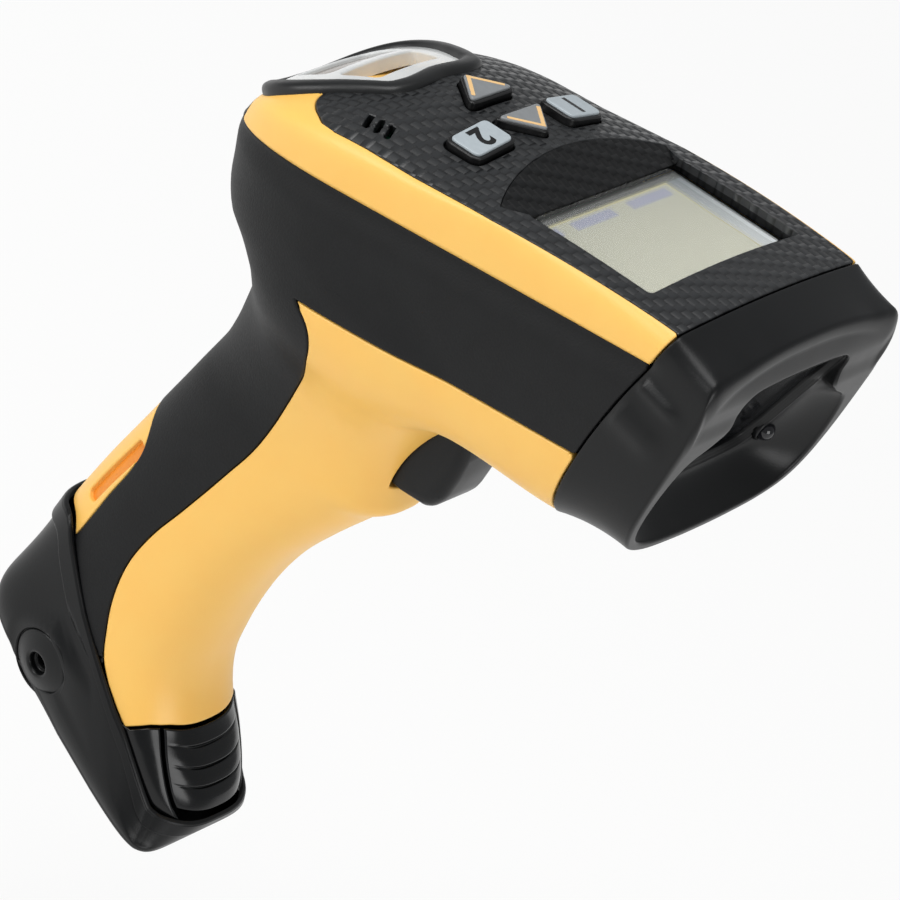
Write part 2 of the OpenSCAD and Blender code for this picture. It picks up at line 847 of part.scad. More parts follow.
bracket_half = 22.4;
bracket_front = -28;
bracket_rear = -66;
module engine_bracket() {
  color("#3A3C3E")
    difference() {
      in_head()
        translate([bracket_rear, -bracket_half, wall + 1.1 - head_depth])
          cube([bracket_front - bracket_rear, 2 * bracket_half,
            head_depth + board_w - board_t - wall - 1.2]);
      translate([nose_plane - 0.3, -50, 0])
        cube([100, 100, 300]);
      translate([engine_x, 0, engine_z])
        cube([200, 2 * bay_half, engine_h], center = true);
      translate([engine_x - 100, -bay_half, engine_z - engine_h / 2 - 102])
        cube([200, 2 * bay_half, 100]);
    }
}

// Trigger: a rounded pad on an arm that turns on a pin in the neck
pivot_x = 5.1;
pivot_z = reach(142);
module at_pivot() {
  translate([pivot_x, 0, pivot_z])
    rotate([90, 0, 0])
      children();
}
// Forward place, height and radius of the balls that round the pad
pad_balls = [[12.7, pivot_z - 10, 7], [12.7, pivot_z - 20.2, 6.4], [11.9, pivot_z - 16, 6.8]];
module trigger_pad() {
  hull()
    for (p = pad_balls, y = [-1, 1])
      translate([p[0], y * (trigger_w / 2 - p[2] * 0.72), p[1]])
        sphere(p[2], $fn = 24);
}
module trigger() {
  color(black)
    difference() {
      union() {
        intersection() {
          trigger_pad();
          cube([100, trigger_w, 400], center = true);
        }
        side_view([[pivot_x - 3.4, pivot_z], [pivot_x, pivot_z + 3.4], [pivot_x + 3.4, pivot_z + 1],
          [pivot_x + 8, pivot_z - 4], [pivot_x + 8, pivot_z - 17], [pivot_x + 1.5, pivot_z - 16],
          [pivot_x - 1, pivot_z - 8]],
          trigger_w - 6);
      }
      at_pivot()
        cylinder(h = 60, r = pin_r + pin_play, center = true);
    }
}

module trigger_pin() {
  color(steel)
    at_pivot()
      cylinder(h = 2 * (ear_in + ear_t) - 0.6, r = pin_r, center = true);
}

// Bracket in the neck: two plates that hold the trigger's pin, joined behind its switch
ear_in = 9.3;
ear_t = 3;
ear_side = shift([[-12.4, -20], [-12.4, -8], [-1, 5], [11, 5], [12, -1], [5.6, -9], [1.8, -16], [1, -20]],
  0, pivot_z);
module trigger_mount() {
  color("#3A3C3E")
    difference() {
      union() {
        for (side = [-1, 1])
          translate([0, side * (ear_in + ear_t / 2), 0])
            side_view(ear_side, ear_t);
        translate([ear_side[0][0], -ear_in - 1, ear_side[0][1]])
          cube([2, 2 * ear_in + 2, 12]);
      }
      at_pivot()
        cylinder(h = 60, r = pin_r + 0.02, center = true);
    }
}

module trigger_slot() {
  translate([pivot_x + 4, 0, pivot_z - 11.8])
    cube([34, trigger_w + 2 * run, 32.6], center = true);
}

switch_x = -6.1;
switch_l = 8;
module trigger_spring() {
  color(steel)
    translate([switch_x + switch_l / 2 + 0.1, 0, pivot_z - 12])
      rotate([0, 90, 0])
        difference() {
          cylinder(h = 6.2, r = 2.4);
          translate([0, 0, -1])
            cylinder(h = 9, r = 1.8);
        }
}

module trigger_switch() {
  color("#26282A")
    translate([switch_x, 0, pivot_z - 14])
      cube([switch_l, 2 * ear_in - 0.2, 12], center = true);
}

// Battery: two cells in a case that slides out of the grip
pack_x = -30;
pack_z = 62;
module in_battery() {
  translate([pack_x, 0, pack_z])
    rotate([0, grip_lean, 0])
      children();
}
pack_d = cell_d + 2 * case_t;
pack_l = 2 * cell_d + 2 * case_t;
pack_end = cell_l / 2 + case_t + 1;
module battery_outline() { rounded(pack_l, pack_d, pack_d / 2 - 1); }

// Floor of the battery's bay, with its contacts
pin_gap = 1.6;
module contact_block() {
  color("#3A3C3E")
    intersection() {
      grip_solid(77, 133, wall + 0.1);
      in_battery()
        translate([0, 0, pack_end + pin_gap + 2.5])
          cube([90, 60, 5], center = true);
    }
}

module contact_pins() {
  color("#C9A24B")
    in_battery()
      for (x = [-12, -4, 4, 12])
        translate([x, 0, pack_end + run])
          cylinder(h = pin_gap - run, r = 0.9);
}

module battery_case() {
  color("#3E4246")
    in_battery()
      difference() {
        translate([0, 0, -pack_end])
          linear_extrude(2 * pack_end)
            battery_outline();
        for (x = [-1, 1])
          translate([x * cell_d / 2, 0, -cell_l / 2])
            cylinder(h = cell_l, r = cell_d / 2 - 0.1);
      }
}

module battery_cells() {
  color("#4F86B8")
    in_battery()
      for (x = [-1, 1])
        translate([x * cell_d / 2, 0, -cell_l / 2 + 0.2])
          cylinder(h = cell_l - 0.4, r = cell_d / 2 - 0.3);
}

// Foot: a boot that closes the grip and carries the battery
rim_out = 0.6;
// Squareness of the foot's section at its rim and at its underside
top_square = 3;
under_square = 8;
rim_share = 0.11;
function edge_z(x) = lookup(x, foot_edge);
function foot_top(a, inset) =
  let (z0 = edge_z(on_grip(40, a, inset, top_square)[0]), z1 = edge_z(on_grip(z0, a, inset, top_square)[0]),
    z2 = edge_z(on_grip((z0 + z1) / 2, a, inset, top_square)[0]))
  on_grip(z2, a, inset, top_square);
function under_z(x) = let (d = max(foot_low - x, 0)) d * (under_rise + under_curve * d);
function foot_bottom(a, inset, lift) =
  let (run_out = (foot_front - foot_rear) / 2 - inset,
    x = (foot_front + foot_rear) / 2 + run_out * curl(cos(a), under_square),
    half = mix(foot_heel, foot_half, (x - foot_rear) / (foot_front - foot_rear)) - inset)
  [x, half * curl(sin(a), under_square), under_z(x) + lift];
function foot_point(t, a, inset, lift) =
  let (out = 6.75 * t * t * (1 - t))
  mix(foot_top(a, inset), foot_bottom(a, inset, lift), t)
  + out * [foot_bulge * min(cos(a), 0) * abs(cos(a)), 0.9 * sin(a), 0];
function foot_ring(t, inset, lift) = [for (a = grip_angles()) foot_point(t, a, inset, lift)];
function lift_ring(r, z) = [for (p = r) p + [0, 0, z]];
module foot_hollow(inset) {
  loft([lift_ring(foot_ring(0, inset, 0), 30), foot_ring(0, inset, 0), foot_ring(0.3, inset, 0),
    foot_ring(0.6, inset, 0), foot_ring(1, inset + 1, inset + 1)]);
}
module foot_cap() {
  color(black)
    difference() {
      intersection() {
        loft([lift_ring(foot_ring(0, -rim_out, 0), 6), foot_ring(0, -rim_out, 0),
          foot_ring(rim_share, -rim_out, 0), foot_ring(rim_share + 0.02, -0.2, 0),
          foot_ring(0.35, 0, 0), foot_ring(0.6, 0, 0), foot_ring(0.85, 0, 1), foot_ring(1, 0, 1.6),
          foot_ring(1, 0.5, 0.5), foot_ring(1, 1.7, 0)]);
        side_view(concat([[-80, 66], [-80, -5]], [[20, -5]], backwards(foot_edge)));
      }
      foot_hollow(wall);
      for (side = [-1, 1])
        at_dish(side) {
          translate([0, 0, -dish_t - seam])
            cylinder(h = 10, r = dish_d / 2 + seam);
          translate([0, 0, -boss_l - seam])
            cylinder(h = 10, r = boss_r + seam);
        }
    }
}

// Plate and ribs that carry the battery's case in the foot
rib_t = 2.4;
module pack_carrier() {
  color("#3A3C3E")
    intersection() {
      foot_hollow(wall + 0.1);
      in_battery()
        translate([0, 0, -pack_end - 0.05])
          mirror([0, 0, 1])
            union() {
              linear_extrude(rib_t)
                rounded(pack_l - 4, pack_d - 4, 3);
              for (x = [-12, 0, 12])
                translate([x - rib_t / 2, -pack_d / 2 + 3, 0])
                  cube([rib_t, pack_d - 6, 30]);
            }
    }
}

// Charging contacts: round dishes in the foot's sides, each with a socket
dish_x = -29.7;
dish_y = 20;
dish_z = 19.2;
dish_tip = 104;
dish_t = 2.4;
dish_out = 0.8;
boss_r = 4.6;
boss_l = 6.4;
module at_dish(side) {
  translate([dish_x, side * dish_y, dish_z])
    rotate([-side * dish_tip, 0, 0])
      children();
}

module charge_contacts() {
  color("#252628")
    for (side = [-1, 1])
      at_dish(side)
        difference() {
          union() {
            translate([0, 0, -dish_t])
              cylinder(h = dish_t + dish_out, r = dish_d / 2);
            translate([0, 0, -boss_l])
              cylinder(h = boss_l, r = boss_r);
          }
          translate([0, 0, -1.2])
            cylinder(h = dish_out + 1.2, r1 = socket_r + 1.4, r2 = dish_d / 2 - 1);
          translate([0, 0, -1.2 - socket_depth])
            cylinder(h = 10, r = socket_r);
        }
}

// Toe in front of the battery: two side posts and, between them, the latch
toe_t = 2.6;
latch_top = [-1.9, 25.1];
latch_foot = [9.9, 13];
latch_low = 13;
latch_lean = 46;
module toe_shell() {
  difference() {
    grip_solid(6, 38, 0.1);
    grip_solid(6, 46, toe_t);
  }
}
// Frame of the latch: X out through its face, Z up along its slope
module at_latch() {
  translate([6.1, 0, 19])
    rotate([0, latch_lean - 90, 0])
      children();
}

module latch_frame() {
  post_side = concat(shift([for (i = [8 : 10]) foot_edge[i]], 0, seam),
    [latch_foot, latch_top, [toe_edge[0][0] + 1, toe_edge[0][1] - seam]]);
  color(black) {
    intersection() {
      toe_shell();
      side_view(post_side);
    }
    intersection() {
      foot_hollow(wall + 0.1);
      at_latch()
        translate([-6.4, -4, -26.1])
          cube([3.8, 8, 20]);
    }
  }
}

module release_latch() {
  slit = run / sin(latch_lean);
  face_side = [[latch_top[0] + slit, latch_top[1]], [20, latch_top[1]],
    [20, latch_low], [latch_foot[0] + slit, latch_low]];
  color(black)
    difference() {
      union() {
        intersection() {
          toe_shell();
          side_view(face_side);
        }
        at_latch()
          translate([-6, -3, 3.7])
            cube([6, 6, 2]);
        at_latch()
          translate([-6, -3, 3.7])
            cube([2, 6, 11]);
      }
      for (z = [22.2, 18.8, 15.4])
        translate([grip_at(z, 2) - 1.4, -30, z])
          cube([20, 60, 1.5]);
    }
}

module latch_spring() {
  color(steel)
    at_latch()
      translate([-4.5, 0, -6])
        difference() {
          cylinder(h = 9.6, r = 1.6);
          translate([0, 0, -1])
            cylinder(h = 12, r = 1.1);
        }
}

upper_housing();
lower_housing();
overmold();
back_strip();
nose_cap();
top_panel();
display_bezel();
display_window();
lcd_module();
key_up();
key_down();
key_1();
key_2();
key_board();
key_switches();
beeper();
bumper_loop();
indicator_lens();
indicator_board();
main_board();
radio_module();
scan_window();
window_seal();
scan_engine();
engine_lens();
aimer_lens();
light_board();
light_diffuser();
engine_bracket();
trigger();
trigger_pin();
trigger_spring();
trigger_mount();
trigger_switch();
contact_block();
contact_pins();
battery_case();
battery_cells();
pack_carrier();
foot_cap();
charge_contacts();
latch_frame();
release_latch();
latch_spring();
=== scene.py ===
import bmesh
import bpy
import numpy as np
from mathutils import Matrix, Vector
from mathutils.bvhtree import BVHTree


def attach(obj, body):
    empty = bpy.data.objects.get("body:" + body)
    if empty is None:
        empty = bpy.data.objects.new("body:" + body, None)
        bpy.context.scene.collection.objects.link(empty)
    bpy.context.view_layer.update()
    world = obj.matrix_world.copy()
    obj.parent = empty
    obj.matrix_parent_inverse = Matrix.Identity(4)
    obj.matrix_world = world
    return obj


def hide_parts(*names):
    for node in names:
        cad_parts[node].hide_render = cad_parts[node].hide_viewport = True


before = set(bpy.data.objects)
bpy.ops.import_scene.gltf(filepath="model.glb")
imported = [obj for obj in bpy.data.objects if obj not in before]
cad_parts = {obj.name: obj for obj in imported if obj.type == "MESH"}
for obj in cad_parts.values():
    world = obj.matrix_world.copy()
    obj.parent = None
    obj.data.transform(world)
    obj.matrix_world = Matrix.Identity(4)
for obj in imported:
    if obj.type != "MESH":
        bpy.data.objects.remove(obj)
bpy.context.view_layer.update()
scene = bpy.context.scene
scene.view_settings.view_transform = "Standard"

# ---- Studio ------------------------------------------------------------------------------------
# A pale paper sweep under soft boxes. The paper is lit like the object, and shows white to the
# camera and in reflections with only a trace of the object's shadow left on it.


def rgb(code):
    s = np.array([int(code[i:i + 2], 16) for i in (1, 3, 5)]) / 255
    return (*np.where(s <= 0.04045, s / 12.92, ((s + 0.055) / 1.055) ** 2.4).tolist(), 1.0)


def add(tree, kind, inputs=None, **settings):
    n = tree.nodes.new(kind)
    for name, value in settings.items():
        setattr(n, name, value)
    for name, value in (inputs or {}).items():
        if isinstance(value, bpy.types.NodeSocket):
            tree.links.new(value, n.inputs[name])
        else:
            n.inputs[name].default_value = value
    return n


def material(name):
    m = bpy.data.materials.new(name)
    m.use_nodes = True
    return m, m.node_tree, m.node_tree.nodes["Principled BSDF"]


paper, tree, shader = material("studio_paper")
shader.inputs["Base Color"].default_value = rgb("#F4F4F2")
shader.inputs["Roughness"].default_value = 0.95
path = add(tree, "ShaderNodeLightPath")
seen = add(tree, "ShaderNodeMath", {0: path.outputs["Is Camera Ray"],
                                    1: path.outputs["Is Glossy Ray"]}, operation="MAXIMUM")
seen = add(tree, "ShaderNodeMath", {0: seen.outputs[0], 1: path.outputs["Is Transmission Ray"]},
           operation="MAXIMUM")
share = add(tree, "ShaderNodeMath", {0: seen.outputs[0], 1: 0.86}, operation="MULTIPLY")
glow = add(tree, "ShaderNodeEmission", {"Color": (1, 1, 1, 1), "Strength": 1.0})
both = add(tree, "ShaderNodeMixShader",
           {0: share.outputs[0], 1: shader.outputs[0], 2: glow.outputs[0]})
tree.links.new(both.outputs[0], tree.nodes["Material Output"].inputs["Surface"])
# The paper lies just below the battery's lowest place, so that it shows when it is drawn out.
paper_half, paper_z = 6, -0.0815
corners = ((-1, -1), (1, -1), (1, 1), (-1, 1))
floor_mesh = bpy.data.meshes.new("floor")
floor_mesh.from_pydata([(a * paper_half, b * paper_half, paper_z) for a, b in corners], [],
                       [(0, 1, 2, 3)])
floor_mesh.materials.append(paper)
floor = bpy.data.objects.new("floor", floor_mesh)
scene.collection.objects.link(floor)

world = bpy.data.worlds.new("studio")
scene.world = world
world.use_nodes = True
world.node_tree.nodes["Background"].inputs["Color"].default_value = rgb("#F6F8FA")
world.node_tree.nodes["Background"].inputs["Strength"].default_value = 0.36

for name, place, aim, size, power in (
        ("soft_box_top", (-0.35, -0.25, 1.5), (0, 0, 0.12), 0.9, 11.0),
        ("soft_box_near", (-0.9, -1.1, 0.75), (0, 0, 0.12), 0.8, 10.0),
        ("soft_box_front", (1.3, -0.35, 0.55), (0, 0, 0.14), 0.7, 6.0)):
    lamp = bpy.data.lights.new(name, "AREA")
    lamp.size = size
    lamp.energy = power
    obj = bpy.data.objects.new(name, lamp)
    obj.location = place
    obj.rotation_euler = (Vector(aim) - Vector(place)).to_track_quat("-Z", "Y").to_euler()
    scene.collection.objects.link(obj)

camera = bpy.data.objects.new("camera", bpy.data.cameras.new("camera"))
camera.data.lens = 240.06
camera.data.sensor_width = 36
turn = Matrix(((0.6694, 0.5807, 0.4634), (-0.6857, 0.2429, 0.6862),
               (0.2859, -0.7771, 0.5608))).transposed()
camera.matrix_world = Matrix.Translation((0.3809, -1.0033, 0.8508)) @ turn.to_4x4()
scene.collection.objects.link(camera)
scene.camera = camera

# ---- Lower housing and soft overmold -----------------------------------------------------------
# The yellow shell is moulded polycarbonate and ABS: belly of the head, throat and front of the
# grip. The black rubber is moulded over it in the same tool, as a band round the head and as the
# grip's back. Both follow one skin, drawn here in millimetres, that runs smoothly round the neck.

pitch = np.radians(17.5)
nose_x, nose_z = 65.1, 212.5


# The head has a frame of its own at the nose: u forward, v to the left and w up off its slope.
def head_place(u, v, w):
    u, v, w = np.broadcast_arrays(u, v, w)
    return np.stack([nose_x + u * np.cos(pitch) - w * np.sin(pitch), v,
                     nose_z + u * np.sin(pitch) + w * np.cos(pitch)], -1)


def in_head(p):
    x, z = p[..., 0] - nose_x, p[..., 2] - nose_z
    return x * np.cos(pitch) + z * np.sin(pitch), p[..., 1], z * np.cos(pitch) - x * np.sin(pitch)


# A curve from a to c that leans toward b.
def bend(a, b, c, t):
    return (1 - t) ** 2 * a + 2 * t * (1 - t) * b + t * t * c


def ease(t):
    t = np.clip(t, 0, 1)
    return t * t * (3 - 2 * t)


# A smooth function through given values.
def spline(x, xs, ys):
    xs, ys = np.asarray(xs, float), np.asarray(ys, float)
    if xs[0] > xs[-1]:
        xs, ys = xs[::-1], ys[::-1]
    step = np.diff(xs)
    rate = np.diff(ys) / step
    inner = (rate[1:] * step[:-1] + rate[:-1] * step[1:]) / (step[1:] + step[:-1])
    slope = np.concatenate([rate[:1], inner, rate[-1:]])
    i = np.clip(np.searchsorted(xs, x) - 1, 0, len(xs) - 2)
    h = step[i]
    t = (x - xs[i]) / h
    return ((1 + 2 * t) * (1 - t) ** 2 * ys[i] + t * (1 - t) ** 2 * h * slope[i]
            + t * t * (3 - 2 * t) * ys[i + 1] - t * t * (1 - t) * h * slope[i + 1])


def crest_at(s):
    return 5.3 + 7.7 * np.clip(s, 0, 1) ** 0.8


def panel_half(s):
    return 33.6 + 2.4 * np.sin(np.radians(110 * np.clip(s, 0, 1))) / np.sin(np.radians(110))


def edge_drop(s):
    s = np.clip(s, 0, 1)
    return 1.9 + 4.2 * s - 1.1 * np.sin(np.pi * np.clip(s / 0.85, 0, 1))


def seam_u(w):
    return -17 / np.cos(pitch) + w * np.tan(pitch) + 3.2 * ease((w + 32) / 40)


def to_seam(p):
    u, v, w = in_head(p)
    return seam_u(w) - 0.15 - u


def head_keys(s, inset):
    o = np.zeros_like(s)
    c, half, drop = crest_at(s) - inset, 36.9 - inset + o, edge_drop(s)
    belly = inset + 0.4 + 1.9 * ease(s / 0.45)
    return [(o, c), (panel_half(s) - inset, c - drop), (half + 0.3, c - drop - 1.6),
            (half - 0.6, o - 4.8), (half, o - 16), (half - 1.2, o - 32.8),
            (half - 2.6, belly - 48.5), (o + 22.88 - inset, belly - 52), (o, belly - 52.4)]


# Half a section of the head. c runs from the crest (0) over the panel (5), the shoulder (7), the
# soft band (11) and the belly's corner (15) to the middle below (17).
def section(keys, c):
    out = []
    for axis in (0, 1):
        k = [p[axis] for p in keys]
        t = c / 5
        panel = k[1] * t if axis == 0 else k[0] + (k[1] - k[0]) * t * t
        t = (c - 7) / 4
        band = k[3] * (2 * t - 1) * (t - 1) + k[4] * 4 * t * (1 - t) + k[5] * t * (2 * t - 1)
        if axis == 0:
            band = band - 1.0 * (1 - ease((t - 0.05) / 0.32))
        out.append(np.select([c <= 5, c <= 7, c <= 11, c <= 15],
                             [panel, bend(k[1], k[2], k[3], (c - 5) / 2), band,
                              bend(k[5], k[6], k[7], (c - 11) / 4)],
                             k[7] + (k[8] - k[7]) * (c - 15) / 2))
    return out


# How far the back of the head reaches behind its last straight section, from the crest down.
rear_depth = [14, 8, 2, -4, -10, -16, -22, -26, -30, -34, -38, -42, -48, -53]
rear_reach = [43.6, 44.2, 45.3, 46.6, 46.8, 46.2, 45.6, 44.2, 41.4, 38.5, 35.3, 33.7, 33, 33]


# A point of the head's skin. s runs from the nose (0) to the last full section (1) and on round
# the rear (2), c runs round the section, and inset goes inward.
def on_head(s, c, inset=0.0):
    s, c = np.broadcast_arrays(np.asarray(s, float), np.asarray(c, float))
    y, w = section(head_keys(s, inset), np.abs(c))
    q, deep = np.clip(s - 1, 0, 1), w
    flat = np.sqrt(np.maximum(1 - q ** 2, 0))
    w = np.where(w > -12, -12 + (w + 12) * flat, np.where(w < -27, -27 + (w + 27) * flat, w))
    front = seam_u(w)
    reach = spline(np.clip(deep, -53, 14), rear_depth, rear_reach)
    u = np.where(s < 1, front + (-95 - front) * s, -95 - q * (reach - inset))
    return head_place(u, np.sign(c) * y * np.maximum(1 - q ** 2.3, 0) ** (1 / 2.3), w)


def along_head(ahead, behind):
    return np.concatenate([np.linspace(0.0, 1, ahead)[:-1],
                           1 + np.sin(np.radians(np.linspace(0, 90, behind)))])[:, None]


# Height, back, front and half width of the grip's sections, from the head down to the foot.
grip_rows = np.array([(178, -22, -18, 2), (174, -36, 14, 20), (168, -43, 24, 32),
                      (161, -46.5, 29, 36.6), (155.8, -46.6, 25.1, 36.6), (149.3, -45.6, 21.1, 36),
                      (142.3, -44.6, 16.6, 33.6), (134.8, -44.4, 12, 28.8), (127, -44.5, 9.6, 24),
                      (118, -44.3, 9.2, 20.8), (112, -44.6, 10.4, 19.6), (107.5, -45.4, 11.2, 19.2),
                      (102.5, -46.3, 7.4, 19.2), (96, -47.4, 4, 19.2), (87, -49, -0.2, 19.2),
                      (77, -50.8, -4.2, 19.3), (66, -52.8, -6.7, 19.5), (55, -54.4, -7.5, 19.7),
                      (46, -55.5, -7.1, 19.9), (38, -56.1, -5.9, 20.1), (32, -56.3, -3.3, 20.3),
                      (26, -56.3, 1.1, 20.4), (20, -56.2, 7.6, 20.4), (12, -55.5, 13.7, 20.3),
                      (6, -54.9, 15.1, 20)])


# A point of the grip's skin at a height and an angle: a superellipse between back and front.
def on_grip(z, a, inset=0.0, power=2.5):
    back = spline(z, grip_rows[:, 0], grip_rows[:, 1]) + inset
    front = spline(z, grip_rows[:, 0], grip_rows[:, 2]) - inset
    half = spline(z, grip_rows[:, 0], grip_rows[:, 3]) - inset
    ca, sa = np.cos(a), np.sin(a)
    x = (back + front) / 2 + (front - back) / 2 * np.sign(ca) * np.abs(ca) ** (2 / power)
    return np.stack(np.broadcast_arrays(x, half * np.sign(sa) * np.abs(sa) ** (2 / power), z), -1)


def facing(m):
    v, t = m["v"], m["t"]
    f = np.cross(v[t[:, 1]] - v[t[:, 0]], v[t[:, 2]] - v[t[:, 0]])
    n = np.zeros_like(v)
    for i in range(3):
        np.add.at(n, t[:, i], f)
    return n / np.maximum(np.linalg.norm(n, axis=1, keepdims=True), 1e-12)


# A mesh is a dict of arrays: v points, t triangles, n shading directions, up the way out of the
# skin, and any other values of its points. This makes one from a grid of points.
def skin(points, wrap=False, inside=None, **values):
    rows, cols = points.shape[:2]
    k = np.arange(rows * cols).reshape(rows, cols)
    if wrap:
        k = np.hstack([k, k[:, :1]])
    a, b, c, d = (x.ravel() for x in (k[:-1, :-1], k[:-1, 1:], k[1:, 1:], k[1:, :-1]))
    flat, first, where = np.unique(points.reshape(-1, 3).round(5), axis=0, return_index=True,
                                   return_inverse=True)
    t = where.reshape(-1)[np.concatenate([np.stack([a, b, c], 1), np.stack([a, c, d], 1)])]
    t = t[(t[:, 0] != t[:, 1]) & (t[:, 1] != t[:, 2]) & (t[:, 0] != t[:, 2])]
    m = {"v": flat, "t": t}
    m["n"] = facing(m)
    if inside is not None and (m["n"] * (m["v"] - np.asarray(inside))).sum() < 0:
        m["t"] = t[:, ::-1]
        m["n"] = -m["n"]
    m["up"] = m["n"].copy()
    for name, value in values.items():
        m[name] = np.broadcast_to(value, points.shape[:2]).reshape(-1)[first]
    return m


# Turns a mesh over where it faces against the given directions.
def face_out(m, away):
    if (m["n"] * away).sum() < 0:
        m.update(t=m["t"][:, ::-1], n=-m["n"], up=-m["up"])
    return m


def join(*parts):
    first = [sum(len(q["v"]) for q in parts[:i]) for i in range(len(parts))]
    out = {"t": np.concatenate([p["t"] + k for p, k in zip(parts, first)])}
    for name in set(parts[0]) - {"t"}:
        out[name] = np.concatenate([p.get(name, np.full(len(p["v"]), 99.0)) for p in parts])
    return out


def distance_to(tree, p):
    d, n = np.zeros(len(p)), np.zeros((len(p), 3))
    for i, q in enumerate(p.tolist()):
        place, facing_out, _, far = tree.find_nearest(q)
        away = Vector(q) - place
        d[i] = far if away.dot(facing_out) >= 0 else -far
        n[i] = away / d[i] if far > 1e-3 else facing_out
    return d, n


# Lifts a skin where it nears another, so that they meet in a fillet, and drops what lies inside.
def flow_into(m, other, reach):
    tree = BVHTree.FromPolygons(other["v"].tolist(), other["t"].tolist())
    start, up = m["v"].copy(), m["n"].copy()
    rise = np.zeros(len(start))
    near = distance_to(tree, start)[0]
    work = np.where((near > -reach) & (near < reach))[0]
    gap, lean = near.copy(), up.copy()
    for i in range(9):
        d, away = distance_to(tree, start[work] + up[work] * rise[work, None])
        h = np.clip(1 - np.abs(rise[work] - d) / reach, 0, 1)
        gap[work] = d - rise[work]
        lean[work] = up[work] * (1 - h / 2)[:, None] + away * (h / 2)[:, None]
        short = np.minimum(rise[work], d) - h * h * reach / 4
        rise[work] = np.clip(rise[work] - 0.8 * short, 0, reach / 4)
    m["v"] = start + up * rise[:, None]
    m["n"] = lean / np.linalg.norm(lean, axis=1, keepdims=True)
    m["up"] = m["n"].copy()
    out = trim(m, gap, 0)
    del out["d"]
    return out


# Splits the triangles along the line where the value d has the given level.
def cut(m, level):
    s = m["d"] - level
    s = np.where(np.abs(s) < 1e-4, 0, s)
    t = m["t"]
    e = np.sort(np.concatenate([t[:, [0, 1]], t[:, [1, 2]], t[:, [2, 0]]]), axis=1)
    hit = s[e[:, 0]] * s[e[:, 1]] < 0
    if not hit.any():
        return
    pairs, where = np.unique(e[hit], axis=0, return_inverse=True)
    share = s[pairs[:, 0]] / (s[pairs[:, 0]] - s[pairs[:, 1]])
    first = len(m["v"])
    for name in m:
        if name != "t":
            lo, hi = m[name][pairs[:, 0]], m[name][pairs[:, 1]]
            part = share[:, None] if lo.ndim > 1 else share
            m[name] = np.concatenate([m[name], lo + (hi - lo) * part])
    new = np.full(len(e), -1)
    new[hit] = first + where.reshape(-1)
    new = new.reshape(3, -1).T
    count = (new >= 0).sum(1)
    out = [t[count == 0]]
    for a, b, c in ((0, 1, 2), (1, 2, 0), (2, 0, 1)):
        k = (count == 2) & (new[:, a] >= 0) & (new[:, c] >= 0)
        p, q = t[k], new[k]
        out += [np.stack(x, 1) for x in ((p[:, a], q[:, a], q[:, c]), (q[:, a], p[:, b], p[:, c]),
                                         (q[:, a], p[:, c], q[:, c]))]
        k = (count == 1) & (new[:, a] >= 0)
        p, q = t[k], new[k]
        out += [np.stack(x, 1) for x in ((p[:, a], q[:, a], p[:, c]), (q[:, a], p[:, b], p[:, c]))]
    m["t"] = np.concatenate(out)


# Keeps what has d above 0, and rounds the new edge over.
def trim(m, d, radius):
    m = dict(m, d=np.asarray(d, float))
    for share in (1, 0.75, 0.5, 0.3, 0.13, 0.03, 0) if radius else (0,):
        cut(m, radius * share)
    t = m["t"][(m["d"][m["t"]] > -1e-3).all(1)]
    used = np.unique(t)
    back = np.full(len(m["v"]), -1)
    back[used] = np.arange(len(used))
    m = {name: back[t] if name == "t" else m[name][used] for name in m}
    if radius:
        v, t, d = m["v"], m["t"], m["d"]
        f = np.cross(v[t[:, 1]] - v[t[:, 0]], v[t[:, 2]] - v[t[:, 0]])
        area = np.maximum((f ** 2).sum(1), 1e-12)[:, None]
        slope = sum(np.cross(f, v[t[:, (i + 2) % 3]] - v[t[:, (i + 1) % 3]]) * d[t[:, i], None]
                    for i in range(3)) / area
        g = np.zeros_like(v)
        for i in range(3):
            np.add.at(g, t[:, i], slope * np.sqrt(area))
        g -= m["up"] * (g * m["up"]).sum(1, keepdims=True)
        g /= np.maximum(np.linalg.norm(g, axis=1, keepdims=True), 1e-9)
        x = np.clip(1 - d / radius, 0, 1)[:, None]
        m["v"] = v - m["up"] * radius * (1 - np.sqrt(1 - x * x))
        m["n"] = m["n"] * np.sqrt(1 - x * x) - g * x
        m["n"] /= np.maximum(np.linalg.norm(m["n"], axis=1, keepdims=True), 1e-9)
    return m


# Gives a skin's edges a wall inward, so that it reads as a moulding of that thickness.
def walled(m, depth):
    t = m["t"]
    e = np.concatenate([t[:, [0, 1]], t[:, [1, 2]], t[:, [2, 0]]])
    key = np.sort(e, axis=1)
    _, where, count = np.unique(key, axis=0, return_inverse=True, return_counts=True)
    e = e[count[where.reshape(-1)] == 1]
    rim = np.unique(e)
    at = np.full(len(m["v"]), -1)
    at[rim] = len(m["v"]) + np.arange(len(rim))
    a, b = e[:, 0], e[:, 1]
    wall = np.concatenate([np.stack([a, at[a], at[b]], 1), np.stack([a, at[b], b], 1)])
    return {"v": np.concatenate([m["v"], m["v"][rim] - m["up"][rim] * depth]),
            "n": np.concatenate([m["n"], m["n"][rim]]),
            "up": np.concatenate([m["up"], m["up"][rim]]), "t": np.concatenate([t, wall])}


